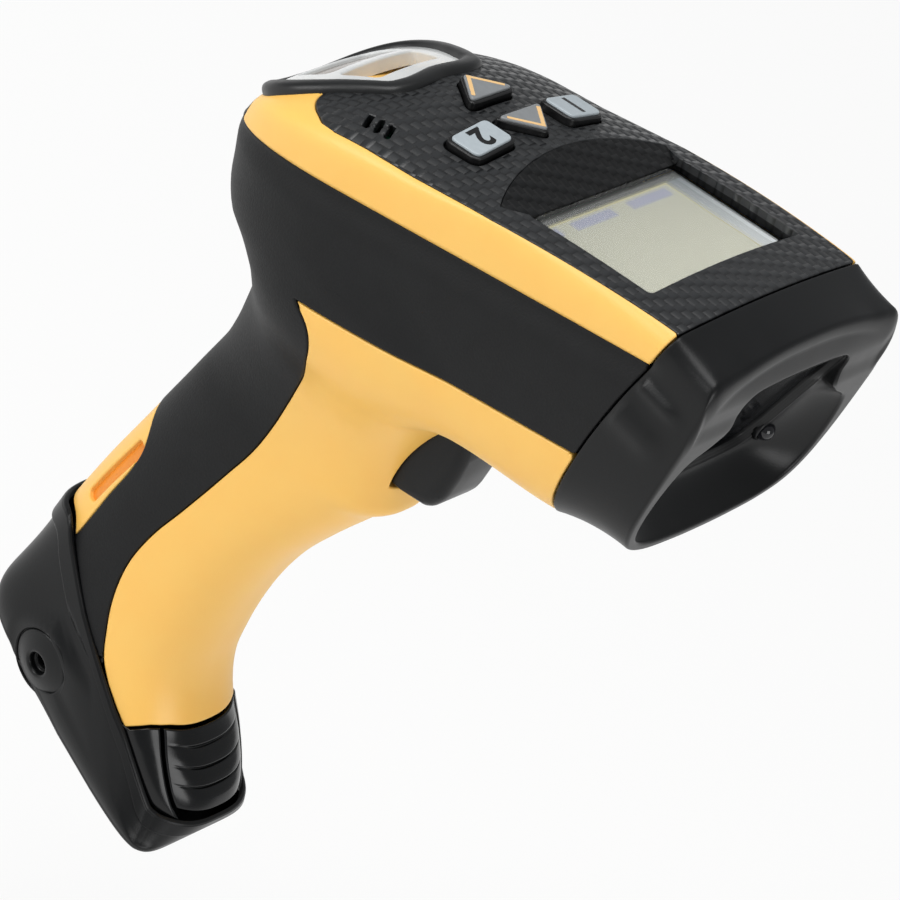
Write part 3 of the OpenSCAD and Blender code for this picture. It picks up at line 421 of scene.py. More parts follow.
# The distance to an outline in a plane, above 0 inside it.
def inside_by(x, y, outline):
    a = np.asarray(outline, float)
    b = np.roll(a, -1, axis=0)
    out = np.empty(len(x))
    for lo in range(0, len(x), 4000):
        px, py = x[lo:lo + 4000, None], y[lo:lo + 4000, None]
        dx, dy = b[:, 0] - a[:, 0], b[:, 1] - a[:, 1]
        t = (px - a[:, 0]) * dx + (py - a[:, 1]) * dy
        t = np.clip(t / np.maximum(dx * dx + dy * dy, 1e-12), 0, 1)
        d = np.sqrt(((px - a[:, 0] - t * dx) ** 2 + (py - a[:, 1] - t * dy) ** 2).min(1))
        with np.errstate(divide="ignore", invalid="ignore"):
            cross = (a[:, 1] > py) != (b[:, 1] > py)
            cross &= px < dx * (py - a[:, 1]) / np.where(dy == 0, 1e-12, dy) + a[:, 0]
        out[lo:lo + 4000] = np.where(cross.sum(1) % 2 == 1, d, -d)
    return out


# A smooth curve through points, with so many steps to a span.
def smooth_line(points, steps=10):
    p = np.asarray(points, float)
    t = np.concatenate([[0], np.cumsum(np.linalg.norm(np.diff(p, axis=0), axis=1))])
    fine = np.linspace(0, t[-1], steps * (len(p) - 1) + 1)
    return np.stack([spline(fine, t, p[:, i]) for i in range(p.shape[1])], 1)


# Makes a mesh in millimetres an object in metres, on its body and in place of its nodes.
def piece(name, m, coat, body, slot, *nodes):
    mesh = bpy.data.meshes.new(name)
    mesh.from_pydata((m["v"] / 1000).tolist(), [], m["t"].tolist())
    mesh.polygons.foreach_set("use_smooth", [True] * len(mesh.polygons))
    if "n" in m:
        mesh.normals_split_custom_set_from_vertices(m["n"].tolist())
    mesh.materials.append(coat)
    obj = bpy.data.objects.new(name, mesh)
    scene.collection.objects.link(obj)
    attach(obj, body)
    if nodes:
        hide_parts(*nodes)
    return obj


head_core, grip_core = head_place(-70, 0, -20), np.array([-25, 0, 90])
half_cols = np.concatenate([np.linspace(7, 11, 26)[:-1], np.linspace(11, 15, 26)[:-1],
                            np.linspace(15, 17, 14)])
side_cols = np.concatenate([half_cols, -half_cols[-2::-1]])
head_skin = skin(on_head(along_head(90, 46), side_cols), inside=head_core,
                 edge=(np.abs(side_cols) - 7) * 2.8)
head_whole = skin(on_head(along_head(80, 40), np.linspace(-17, 17, 137)), inside=head_core)
heights = np.linspace(12, 178, 168)[:, None]
grip_skin = skin(on_grip(heights, np.radians(np.linspace(0, 360, 161)[:-1])), wrap=True)
face_out(grip_skin, (grip_skin["v"] - grip_core) * (1, 1, 0))
neck_reach = 6.0
belly = flow_into(head_skin, grip_skin, neck_reach)
handle = flow_into(grip_skin, head_whole, neck_reach)
body_skin = join(belly, handle)

soft_edge = smooth_line([(-22.2, 151.8), (-19.6, 150.7), (-17.2, 149.4), (-15.5, 147.5),
                         (-14.3, 144.5), (-14.1, 139.4), (-15, 133), (-16.3, 126.7), (-17.3, 118.1),
                         (-17.9, 110.8), (-19, 101.3), (-20.6, 94.7), (-22.8, 85.8), (-25.2, 76.6),
                         (-27.9, 66.5), (-29, 56.5), (-27.5, 46.5), (-24.5, 38.5), (-21.3, 32.4),
                         (-17.4, 28.35)])
foot_line = [(-60.9, 50), (-54.5, 50.5), (-51.5, 51.3), (-49.4, 51.9), (-47.8, 51.9), (-46, 51),
             (-43.8, 49), (-39.1, 45.1), (-31.1, 38.0), (-16.8, 27.5)]
foot_edge = smooth_line(foot_line, 8)
strip_zone = smooth_line([(-45.6, 40), (-44, 49.8), (-42.6, 64), (-41.5, 75), (-41.9, 79),
                          (-43.4, 82), (-46.5, 85), (-51, 87.3), (-70, 88.5)], 6)
strip_zone = np.concatenate([strip_zone, [(-70, 40)]])


def band_z(x):
    e = head_place(0, 0, -31.5)
    return e[2] + (x - e[0]) * np.tan(pitch)


top_x = soft_edge[0][0]
yellow_zone = np.concatenate([soft_edge, [(-12.9, 24.95), (-8.9, 22.3), (-7.6, 23.4), (-5, 25.6),
                                          (-2.4, 26.8), (3, 27.3), (60, 27.4), (60, band_z(60)),
                                          (top_x, band_z(top_x))]])
soft_zone = np.concatenate([soft_edge[::-1], [(top_x, band_z(top_x)), (60, band_z(60)), (60, 240),
                                              (-95, 240)], foot_edge + (0, 0.35)])


# The distance to a rectangle with round corners, below 0 inside it.
def plate(a, b, half_a, half_b, radius):
    da, db = np.abs(a) - half_a + radius, np.abs(b) - half_b + radius
    beyond = np.hypot(np.maximum(da, 0), np.maximum(db, 0))
    return beyond + np.minimum(np.maximum(da, db), 0) - radius


x, y, z = body_skin["v"].T
to_nose = to_seam(body_skin["v"])
joint, slot_half, shell_wall = 0.12, 8.85, 1.6
slot = np.maximum(np.abs(y) - slot_half, plate(x - 18, z - 130.6, 13.5, 16.0, 4.5))
yellow_shell = trim(body_skin,
                    np.minimum.reduce([inside_by(x, z, yellow_zone) - joint, to_nose, slot]), 0.45)
strip_hole = np.where(x < -38, -inside_by(x, z, strip_zone), 9.0)
soft_shell = trim(body_skin, np.minimum.reduce([inside_by(x, z, soft_zone) - joint, to_nose,
                                                strip_hole, body_skin["edge"] - joint]), 0.5)


# A finish has one mottle in its colour and gloss, and may have a finer grain in its surface. Scales
# count per metre: 90 is a mottle of about 11 mm, and 2600 a moulded grain of about 0.4 mm.
def finish(name, colour, dull, scale, detail=2.0, grain=None, dull_by_grain=False, sockets=None):
    made, tree, shader = material(name)
    where = add(tree, "ShaderNodeTexCoord").outputs["Object"]
    mottle = add(tree, "ShaderNodeTexNoise",
                 {"Vector": where, "Scale": scale, "Detail": detail}).outputs["Fac"]
    fine = mottle
    if grain:
        noise = add(tree, "ShaderNodeTexNoise",
                    {"Vector": where, "Scale": grain[0], "Detail": grain[1]})
        fine = noise.outputs["Fac"]
        bump = add(tree, "ShaderNodeBump",
                   {"Height": fine, "Strength": grain[2], "Distance": grain[3]})
        tree.links.new(bump.outputs[0], shader.inputs["Normal"])
    if isinstance(colour, tuple):
        tone = add(tree, "ShaderNodeMix", {0: mottle, 6: rgb(colour[0]), 7: rgb(colour[1])},
                   data_type="RGBA")
        tree.links.new(tone.outputs[2], shader.inputs["Base Color"])
    else:
        shader.inputs["Base Color"].default_value = rgb(colour)
    if isinstance(dull, tuple):
        spread = add(tree, "ShaderNodeMapRange",
                     {0: fine if dull_by_grain else mottle, 3: dull[0], 4: dull[1]})
        tree.links.new(spread.outputs[0], shader.inputs["Roughness"])
    else:
        shader.inputs["Roughness"].default_value = dull
    for socket, value in (sockets or {}).items():
        shader.inputs[socket].default_value = value
    return made


# Polycarbonate and ABS blend, moulded in a spark-eroded tool: warm yellow with a fine even grain
# that spreads the highlights, and a faint mottle from the pigment.
yellow = finish("moulded_yellow_polycarbonate", ("#FFC35C", "#FFCC68"), (0.36, 0.48), 90.0, 3.0,
                grain=(2600.0, 2.0, 0.12, 0.0002),
                sockets={"IOR": 1.58, "Subsurface Weight": 0.06,
                         "Subsurface Radius": (0.002, 0.0012, 0.0006)})

# Thermoplastic rubber with a matt, slightly leathery skin that goes grey at grazing light.
rubber = finish("matt_black_moulded_rubber", ("#0D0D0E", "#151617"), (0.46, 0.62), 140.0, 4.0,
                grain=(1900.0, 3.0, 0.22, 0.0003), dull_by_grain=True,
                sockets={"Specular IOR Level": 0.26})

piece("lower_housing_shell", walled(yellow_shell, shell_wall), yellow, "body", "yellow",
      "lower_housing")
piece("overmold_shell", walled(soft_shell, shell_wall), rubber, "body", "soft", "overmold")

# ---- Upper housing -----------------------------------------------------------------------------
# The yellow frame between the soft band and the top panel: a bright stripe along each side,
# moulded in the same plastic as the lower housing. A black rubber cap closes the rear.
panel_edge = on_head(along_head(60, 30), [5.0])[:, 0]
edge_u, edge_v, _ = in_head(panel_edge)
ahead = edge_u > -105
rear_corner = smooth_line([(edge_u[ahead][-1], edge_v[ahead][-1]), (-110, 31.8), (-113.6, 28.8),
                           (-115.6, 25.6), (-116, 20), (-116, 0)], 8)
half_panel = np.concatenate([np.stack([edge_u[ahead], edge_v[ahead]], 1), rear_corner[1:]])
panel_zone = np.concatenate([[(6, edge_v[0])], half_panel, half_panel[::-1] * (1, -1),
                             [(6, -edge_v[0])]])
loop_half = smooth_line([(-101.8, 0), (-101.8, 13), (-103, 16.6), (-106, 18.6), (-111, 20.8),
                         (-116, 23.8), (-120, 25.2), (-125, 25.6), (-129, 24.6), (-133, 21),
                         (-137, 14), (-141, 8)], 6)
loop_zone = np.concatenate([loop_half, loop_half[::-1] * (1, -1)])

top_cols = np.linspace(-7, 7, 121)
beside = np.abs(top_cols)
rows = along_head(110, 60)
points = on_head(rows, top_cols)
plan_u, plan_v, _ = in_head(points)
ease_in = np.clip((rows - 0.6) / 0.5, 0, 1) * np.exp(-((beside - 5) / 1.1) ** 2) * (beside < 6.7)
for i in range(60):
    middle = points[:, :-2] / 2 + points[:, 2:] / 2
    points[:, 1:-1] += (ease_in[:, 1:-1, None] * 0.5) * (middle - points[:, 1:-1])
shoulder = np.abs(in_head(on_head(rows, [5.0]))[1]) + np.maximum(beside - 5, 0) * 5
plan_v = np.where(beside > 5, np.sign(top_cols) * shoulder, plan_v)
top_skin = skin(points, edge=(7 - beside) * 3.6, plan_u=plan_u, plan_v=plan_v, inside=head_core)
in_panel = inside_by(top_skin["plan_u"], top_skin["plan_v"], panel_zone)
u, v, _ = in_head(top_skin["v"])
past_loop = 1.2 - inside_by(u, v, loop_zone)
stripe_end = -134.6
stripe = trim(top_skin, np.minimum.reduce([top_skin["edge"] - joint, -in_panel - 0.1,
                                           u - stripe_end, past_loop, to_seam(top_skin["v"])]), 0.4)
piece("upper_housing_stripe", walled(stripe, 1.4), yellow, "body", "yellow", "upper_housing")
rear_cap = trim(top_skin, np.minimum(top_skin["edge"] - joint, stripe_end - 0.15 - u), 0.4)
piece("upper_housing_rear_cap", walled(rear_cap, 1.4), rubber, "body", "soft")

# ---- Top panel ---------------------------------------------------------------------------------
# Black polycarbonate cover moulded with a raised carbon weave, cut for the keys, the sounder's
# slots, the loop and the sloping recess over the display.
display = Matrix.Translation(head_place(-42.8, 0, 5.0).tolist()) @ Matrix.Rotation(-pitch, 4, "Y") \
    @ Matrix.Rotation(np.radians(5.1), 4, "Y")
display_turn = np.array(display.to_3x3())
display_place = np.array(display.translation)


def in_display(p):
    return (p - display_place) @ display_turn


def rounded_outline(corners, radius, steps=8):
    p = np.asarray(corners, float)
    before, after = np.roll(p, 1, 0), np.roll(p, -1, 0)
    out = []
    for a, b, c, r in zip(before, p, after, np.broadcast_to(radius, len(p))):
        a, c = (a - b) / np.linalg.norm(a - b), (c - b) / np.linalg.norm(c - b)
        reach = r / np.tan(np.arccos(np.clip(a @ c, -1, 1)) / 2)
        t = np.linspace(0, 1, steps)[:, None]
        out.append(bend(b + a * reach, b, b + c * reach, t))
    return np.concatenate(out)


def even(outline, count):
    p = np.concatenate([outline, outline[:1]])
    t = np.concatenate([[0], np.cumsum(np.linalg.norm(np.diff(p, axis=0), axis=1))])
    fine = np.linspace(0, t[-1], count + 1)[:-1]
    return np.stack([np.interp(fine, t, p[:, i]) for i in range(2)], 1)


def panel_w(s, v):
    return crest_at(s) - edge_drop(s) * (v / panel_half(s)) ** 2


def top_w(u, v):
    w = 8.0
    for i in range(4):
        front = seam_u(w)
        s = (front - u) / (front + 95)
        w = panel_w(s, v)
    return w


well_half, well_rear, well_front, facet_rise = 28.2, -15.5, 17.3, 0.27


def facet_z(x, y):
    return 0.2 + facet_rise * (well_rear - x) * (1 - 0.3 * (y / 27) ** 2)


def outside_well(p):
    x, y, z = in_display(p).T
    straight = plate(x - 0.9, y, 16.4, well_half, 1.2)
    slope = np.maximum((facet_z(x, y) - z) / facet_rise,
                       np.abs(y) - well_half + 0.5 * (x - well_rear))
    return np.minimum(straight, np.maximum(slope, x + 15.0))


def key_frame(u, v):
    s = (-u - 17) / 78
    w = panel_w(s, v)
    roll = np.arctan(2 * edge_drop(np.array(0.85)) * v / 35.2 ** 2)
    return Matrix.Translation(head_place(u, v, w).tolist()) @ Matrix.Rotation(-pitch, 4, "Y") \
        @ Matrix.Rotation(np.radians(4.6), 4, "Y") @ Matrix.Rotation(-float(roll), 4, "X")


half_turn = Matrix.Rotation(np.pi, 4, "Z")
key_frames = {"key_up": key_frame(-93.0, 0.0) @ half_turn, "key_down": key_frame(-80.0, 0.0),
              "key_1": key_frame(-80.0, 16.5), "key_2": key_frame(-80.0, -16.5)}


def key_outline(name, grow):
    if name in ("key_1", "key_2"):
        l, b = 4.8 + grow, 6.8 + grow
        return rounded_outline([(l, b), (-l, b), (-l, -b), (l, -b)], 2.4 + grow)
    l, b = 3.9 + 1.2 * grow, 7.4 + 1.6 * grow
    return rounded_outline([(l + 2.2, 0), (-l, b + 1.6), (-l, -b - 1.6)], 1.7 + grow, 10)


cuts = [in_panel, past_loop, outside_well(top_skin["v"]), to_seam(top_skin["v"])]
for name, place in key_frames.items():
    q = (top_skin["v"] - np.array(place.translation)) @ np.array(place.to_3x3())
    cuts.append(-inside_by(q[:, 0], q[:, 1], key_outline(name, 0.4)))
for i in range(3):
    a, b = u + 95 + 2.9 * i, v + 27.8
    turn = np.radians(20)
    cuts.append(plate(a * np.cos(turn) + b * np.sin(turn), b * np.cos(turn) - a * np.sin(turn), 0.7,
                      2.5, 0.6))
panel = trim(top_skin, np.minimum.reduce(cuts), 0.35)

# The weave stands about 0.1 mm high in tiles of 2.3 mm, each tile a bundle of threads laid along or
# across the scanner, stepped as in a twill.
weave, tree, shader = material("black_carbon_weave_polycarbonate")
where = add(tree, "ShaderNodeTexCoord")
flat = add(tree, "ShaderNodeMapping",
           {"Vector": where.outputs["Object"], "Rotation": (0, float(pitch), 0)})
axes = add(tree, "ShaderNodeSeparateXYZ", {0: flat.outputs[0]})
tile = 0.0023
along = add(tree, "ShaderNodeMath", {0: axes.outputs[0], 1: 1 / tile}, operation="MULTIPLY")
across = add(tree, "ShaderNodeMath", {0: axes.outputs[1], 1: 1 / tile}, operation="MULTIPLY")
row = add(tree, "ShaderNodeMath", {0: across.outputs[0]}, operation="FLOOR")
half_row = add(tree, "ShaderNodeMath", {0: row.outputs[0], 1: 0.5}, operation="MULTIPLY")
stepped = add(tree, "ShaderNodeMath", {0: along.outputs[0], 1: half_row.outputs[0]},
              operation="ADD")
column = add(tree, "ShaderNodeMath", {0: stepped.outputs[0]}, operation="FLOOR")
total = add(tree, "ShaderNodeMath", {0: row.outputs[0], 1: column.outputs[0]})
parity = add(tree, "ShaderNodeMath", {0: total.outputs[0], 1: 2.0}, operation="FLOORED_MODULO")
arch = []
for n in (stepped, across):
    part = add(tree, "ShaderNodeMath", {0: n.outputs[0]}, operation="FRACT")
    off = add(tree, "ShaderNodeMath", {0: part.outputs[0], 1: 0.5}, operation="SUBTRACT")
    square = add(tree, "ShaderNodeMath", {0: off.outputs[0], 1: off.outputs[0]},
                 operation="MULTIPLY")
    arch.append(add(tree, "ShaderNodeMath", {0: square.outputs[0], 1: -3.6, 2: 1.0},
                    operation="MULTIPLY_ADD"))
height = add(tree, "ShaderNodeMix",
             {0: parity.outputs[0], 2: arch[0].outputs[0], 3: arch[1].outputs[0]})
# The tile crowns are painted lighter and their edges darker, following the relief: painted sheen
# and painted shade over the bump.
tone = add(tree, "ShaderNodeMix", {0: height.outputs[0], 6: rgb("#060607"), 7: rgb("#1D1F21")},
           data_type="RGBA")
tree.links.new(tone.outputs[2], shader.inputs["Base Color"])
dull = add(tree, "ShaderNodeMapRange", {0: parity.outputs[0], 3: 0.34, 4: 0.5})
tree.links.new(dull.outputs[0], shader.inputs["Roughness"])
relief = add(tree, "ShaderNodeBump",
             {"Height": height.outputs[0], "Strength": 0.75, "Distance": 0.00035})
tree.links.new(relief.outputs[0], shader.inputs["Normal"])
shader.inputs["IOR"].default_value = 1.58
piece("top_panel_weave", walled(panel, 1.5), weave, "body", "weave", "top_panel")

# ---- Display -----------------------------------------------------------------------------------
# A sloping recess with woven walls leads down to a clear window. Under it lies a pale liquid
# crystal module in a black border, with the dark labels of its soft keys along the rear edge.
x = np.linspace(-15.4, -31, 44)[:, None]
y = np.linspace(-1, 1, 90) * (well_half - 0.5 * (x - well_rear))
facet = np.stack(np.broadcast_arrays(x, y, facet_z(x, y)), -1) @ display_turn.T + display_place
facet = skin(facet, inside=head_core)
u, v, w = in_head(facet["v"])
facet = trim(facet, (top_w(u, v) - w) / facet_rise - 0.15, 0)
rim = [(well_front, well_half), (well_rear, well_half), (well_rear, -well_half),
       (well_front, -well_half)]
rim = even(rounded_outline(rim, 1.2, 8), 240)
sides = np.stack([np.concatenate([rim, np.full((len(rim), 1), z)], 1)
                  for z in np.linspace(-1.4, 4.2, 15)])
sides = skin(sides @ display_turn.T + display_place, wrap=True)
face_out(sides, display_place - sides["v"])
u, v, w = in_head(sides["v"])
x, y, z = in_display(sides["v"]).T
sides = trim(sides, np.minimum(top_w(u, v) - w - 0.3, np.maximum((x + 15.3) * 9, 0.25 - z)), 0)
del facet["d"], sides["d"]
# The recess's facet and walls take a darker copy of the weave: painted shade where they turn away
# from the light.
shaded = weave.copy()
shaded.name = "black_carbon_weave_painted_shade_in_the_recess"
for n in shaded.node_tree.nodes:
    if n.type == "MIX" and n.data_type == "RGBA":
        n.inputs[6].default_value, n.inputs[7].default_value = rgb("#020202"), rgb("#0B0C0D")
    if n.type == "BSDF_PRINCIPLED":
        n.inputs["Specular IOR Level"].default_value = 0.2
piece("display_well", join(facet, sides), shaded, "body", "weave", "display_bezel")

# Clear acrylic, polished and hard coated, over the module: almost unseen but for its reflections.
window = finish("clear_acrylic_window", "#F4F6F2", (0.03, 0.1), 60.0,
                sockets={"Transmission Weight": 0.9, "IOR": 1.2, "Alpha": 0.25})


def recoat(node, made):
    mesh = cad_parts[node].data
    mesh.materials.clear()
    mesh.materials.append(made)


recoat("display_window", window)

# The module's face: black border, pale frame, cream glass with a painted soft shade to its rear,
# and the blue-grey boxes of three soft keys. Places are millimetres in the display's own frame.
lcd, tree, shader = material("liquid_crystal_glass")
where = add(tree, "ShaderNodeUVMap", uv_map="face")
axes = add(tree, "ShaderNodeSeparateXYZ", {0: where.outputs[0]})


def box_mask(tree, axes, x0, x1, y0, y1):
    out = None
    for axis, lo, hi in ((0, x0, x1), (1, y0, y1)):
        a = add(tree, "ShaderNodeMath", {0: axes.outputs[axis], 1: lo}, operation="GREATER_THAN")
        b = add(tree, "ShaderNodeMath", {0: axes.outputs[axis], 1: hi}, operation="LESS_THAN")
        both = add(tree, "ShaderNodeMath", {0: a.outputs[0], 1: b.outputs[0]}, operation="MULTIPLY")
        out = both if out is None else add(tree, "ShaderNodeMath",
                                           {0: out.outputs[0], 1: both.outputs[0]},
                                           operation="MULTIPLY")
    return out.outputs[0]


# The cream is graded darker toward the rear: painted shade under the recess's rear wall.
painted_shade = add(tree, "ShaderNodeMapRange", {0: axes.outputs[0], 1: -12.0, 2: 12.0})
cream = add(tree, "ShaderNodeMix", {0: painted_shade.outputs[0], 6: rgb("#BFBEAC"), 7: rgb("#DAD9C6")},
            data_type="RGBA")
colour = cream.outputs[2]
for y0, y1 in ((-27.2, -21.6), (-17, -2), (3.6, 18.6)):
    label = box_mask(tree, axes, -11.5, -8.7, y0, y1)
    speck = add(tree, "ShaderNodeTexChecker", {"Vector": where.outputs[0], "Color1": rgb("#9A9DB4"),
                                               "Color2": rgb("#AFB2C4"), "Scale": 1.6})
    colour = add(tree, "ShaderNodeMix", {0: label, 6: colour, 7: speck.outputs[0]},
                 data_type="RGBA").outputs[2]
edged = add(tree, "ShaderNodeMix", {0: box_mask(tree, axes, -12.2, 15.6, -28.0, 20.4),
                                    6: rgb("#CDC590"), 7: colour}, data_type="RGBA")
# The pale frame is graded from grey at the rear to near white at the front: painted shade toward
# the rear and painted reflection toward the front.
frame_painted_light = add(tree, "ShaderNodeMapRange", {0: axes.outputs[0], 1: -13.0, 2: 14.0})
strip = add(tree, "ShaderNodeMix", {0: frame_painted_light.outputs[0], 6: rgb("#7C8388"), 7: rgb("#E6EAEC")},
            data_type="RGBA")
pale = add(tree, "ShaderNodeMix", {0: box_mask(tree, axes, -12.7, 16.0, -28.0, 20.9),
                                   6: strip.outputs[2], 7: edged.outputs[2]}, data_type="RGBA")
grey = add(tree, "ShaderNodeMix", {0: box_mask(tree, axes, -12.7, 16.6, -28.0, 28.0),
                                   6: rgb("#5A5B59"), 7: pale.outputs[2]}, data_type="RGBA")
dark = add(tree, "ShaderNodeMix", {0: box_mask(tree, axes, -14.5, 16.3, -27.5, 26.4),
                                   6: rgb("#0A0A0B"), 7: grey.outputs[2]}, data_type="RGBA")
tree.links.new(dark.outputs[2], shader.inputs["Base Color"])
shader.inputs["Roughness"].default_value = 0.3
ys, xs = np.meshgrid(np.linspace(-27.8, 27.8, 44), np.linspace(-15.1, 16.9, 26))
face = np.stack([xs, ys, np.full_like(xs, -1.28)], -1)
rim = np.array([(16.9, 27.8), (-15.1, 27.8), (-15.1, -27.8), (16.9, -27.8)])
sides = np.stack([np.concatenate([even(rim, 80), np.full((80, 1), z)], 1) for z in (-1.28, -4.6)])
front = skin(face @ display_turn.T + display_place, inside=display_place - display_turn[:, 2] * 30)
around = skin(sides @ display_turn.T + display_place, wrap=True,
              inside=display_place - display_turn[:, 2] * 3)
module = join(front, around)
obj = piece("lcd_module_face", module, lcd, "body", "lcd", "lcd_module")
uv = obj.data.uv_layers.new(name="face")
flat = in_display(module["v"])[:, :2]
corner = np.empty(len(obj.data.loops), int)
obj.data.loops.foreach_get("vertex_index", corner)
uv.data.foreach_set("uv", flat[corner].ravel())

# ---- Keys --------------------------------------------------------------------------------------
# Four sprung keys: black skirts with pale printed caps. Two arrows carry orange chevrons, the two
# outer keys a plain number each.

# Hard-coated silicone skirts, satin and near black. Caps and legends are matt screen prints.
key_black = finish("key_skirt_silicone_hard_coat", "#0A0A0B", (0.3, 0.44), 1500.0)
key_grey = finish("printed_key_cap", ("#7F8284", "#8D9092"), 0.4, 700.0)
key_pale = finish("printed_pale_key_cap", ("#A6AFB4", "#B6BFC4"), 0.4, 700.0)
key_orange = finish("printed_orange_legend", ("#EFC07C", "#F6D09A"), 0.45, 900.0)


def slab(outline, low, high, radius, steps=6):
    flat = even(outline, 120)
    out = np.roll(flat, -1, 0) - np.roll(flat, 1, 0)
    out = np.stack([out[:, 1], -out[:, 0]], 1)
    out /= np.linalg.norm(out, axis=1, keepdims=True)
    if ((flat - flat.mean(0)) * out).sum() < 0:
        out = -out
    rows = [(0, low)] + [(radius * (1 - np.cos(a)), high - radius * (1 - np.sin(a)))
                         for a in np.radians(np.linspace(0, 90, steps))]
    rings = [np.concatenate([flat - out * d, np.full((len(flat), 1), z)], 1) for d, z in rows]
    middle = np.append(flat.mean(0), high)
    for k in (0.3, 0.6, 0.85, 1.0):
        rings.append(rings[len(rows) - 1] * (1 - k) + middle * k)
    return np.array(rings)


def stroke(points, width):
    p = np.asarray(points, float)
    d = np.diff(p, axis=0)
    d /= np.linalg.norm(d, axis=1, keepdims=True)
    side = np.stack([-d[:, 1], d[:, 0]], 1) * width / 2
    bends = [(a + b) / (1 + (a @ b) / (width / 2) ** 2) for a, b in zip(side[:-1], side[1:])]
    corner = [side[0]] + bends + [side[-1]]
    return p + corner, p - corner


def printed(left, right, high):
    rows = np.stack([left, left * 0.5 + right * 0.5, right], 1)
    return skin(np.concatenate([rows, np.full(rows.shape[:2] + (1,), high)], 2), inside=(0, 0, -50))


def digit(text, size, high):
    letter = bpy.data.curves.new("digit", "FONT")
    letter.body, letter.size, letter.offset = text, size, 0.035 * size
    letter.align_x, letter.align_y = "CENTER", "CENTER"
    holder = bpy.data.objects.new("digit", letter)
    mesh = bpy.data.meshes.new_from_object(holder)
    mesh.calc_loop_triangles()
    p = np.array([q.co[:] for q in mesh.vertices])
    p[:, :2] -= (p[:, :2].min(0) + p[:, :2].max(0)) / 2
    t = np.array([q.vertices[:] for q in mesh.loop_triangles])
    bpy.data.objects.remove(holder)
    n = np.tile((0.0, 0.0, 1.0), (len(p), 1))
    flat = np.stack([p[:, 1], -p[:, 0], np.full(len(p), high)], 1)
    turned = np.cross(flat[t[:, 1]] - flat[t[:, 0]], flat[t[:, 2]] - flat[t[:, 0]])[:, 2] < 0
    t[turned] = t[turned][:, ::-1]
    return {"v": flat, "t": t, "n": n, "up": n.copy()}


def placed(m, place):
    turn = np.array(place.to_3x3())
    return dict(m, v=m["v"] @ turn.T + np.array(place.translation), n=m["n"] @ turn.T,
                up=m["up"] @ turn.T)


for name, place in key_frames.items():
    arrow = name in ("key_up", "key_down")
    body = skin(slab(key_outline(name, 0.0), -2.6, 1.55, 0.45), wrap=True, inside=(0, 0, -0.5))
    piece(name + "_skirt", placed(body, place), key_black, name, "key", name)
    cap = skin(slab(key_outline(name, -0.75 if arrow else -0.85), 1.2, 2.1, 0.35), wrap=True,
               inside=(0, 0, 0.6))
    piece(name + "_cap", placed(cap, place), key_grey if arrow else key_pale, name, "key")
    if arrow:
        mark = printed(*stroke([(-1.9, -5.7), (3.9, 0.0), (-1.9, 5.7)], 0.95), 2.12)
    else:
        mark = digit(name[-1], 8.0, 2.12)
    piece(name + "_legend", placed(mark, place), key_orange if arrow else key_black, name, "key")

# ---- Bumper loop and indicator -----------------------------------------------------------------
# A raised black rubber loop guards the rear edge and serves to hang the scanner. In it sits a
# clear lens frame over the indicator's lights, with the yellow housing showing through its middle.


def loop_top(u, v):
    q = np.clip((-u - 95) / 44.6, 0, 0.985)
    return -12 + (26.5 - 0.0047 * v ** 2) * np.sqrt(1 - q ** 2)


def both_halves(line):
    half = smooth_line(line, 8)
    return np.concatenate([half, half[-2:0:-1] * (1, -1)])


def swept(line, shape, drop):
    p = np.asarray(line, float)
    d = np.roll(p, -1, 0) - np.roll(p, 1, 0)
    d /= np.linalg.norm(d, axis=1, keepdims=True)
    out = np.stack([d[:, 1], -d[:, 0]], 1)
    if ((p - p.mean(0)) * out).sum() < 0:
        out = -out
    u, v = p.T
    up = np.stack([loop_top(u - 0.2, v) - loop_top(u + 0.2, v),
                   loop_top(u, v - 0.2) - loop_top(u, v + 0.2), np.full(len(p), 0.4)], 1)
    up /= np.linalg.norm(up, axis=1, keepdims=True)
    base = np.concatenate([p, loop_top(u, v)[:, None] - drop], 1)
    side = np.concatenate([out, np.zeros((len(p), 1))], 1)
    side -= up * (side * up).sum(1, keepdims=True)
    q = base[:, None] + side[:, None] * shape[None, :, :1] + up[:, None] * shape[None, :, 1:]
    q = head_place(q[..., 0], q[..., 1], q[..., 2])
    return np.concatenate([q, q[:1]])


ring_line = np.array([(-104.5, 0), (-104.4, 11.5), (-105.6, 14.6), (-109, 17.0), (-114, 19.6),
                      (-119, 21.8), (-124, 22.8), (-128.5, 22.0), (-132.5, 19), (-135.6, 13),
                      (-136.8, 6), (-137.0, 0)])
ring_line = both_halves(ring_line)
angles = np.radians(np.linspace(0, 360, 33)[:-1])
bar = np.stack([2.6 * np.sign(np.cos(angles)) * np.abs(np.cos(angles)) ** 0.7,
                -3.0 + 3.2 * np.sign(np.sin(angles)) * np.abs(np.sin(angles)) ** 0.7], 1)
loop = skin(swept(ring_line, bar, 0.2), wrap=True)
face_out(loop, loop["v"] - head_place(-121, 0, -40))
# Satin rubber with a soft, wide highlight along the bar.
gloss = finish("satin_black_rubber_loop", "#0C0D0E", (0.34, 0.46), 900.0)
piece("bumper_loop_ring", loop, gloss, "body", "rubber", "bumper_loop")

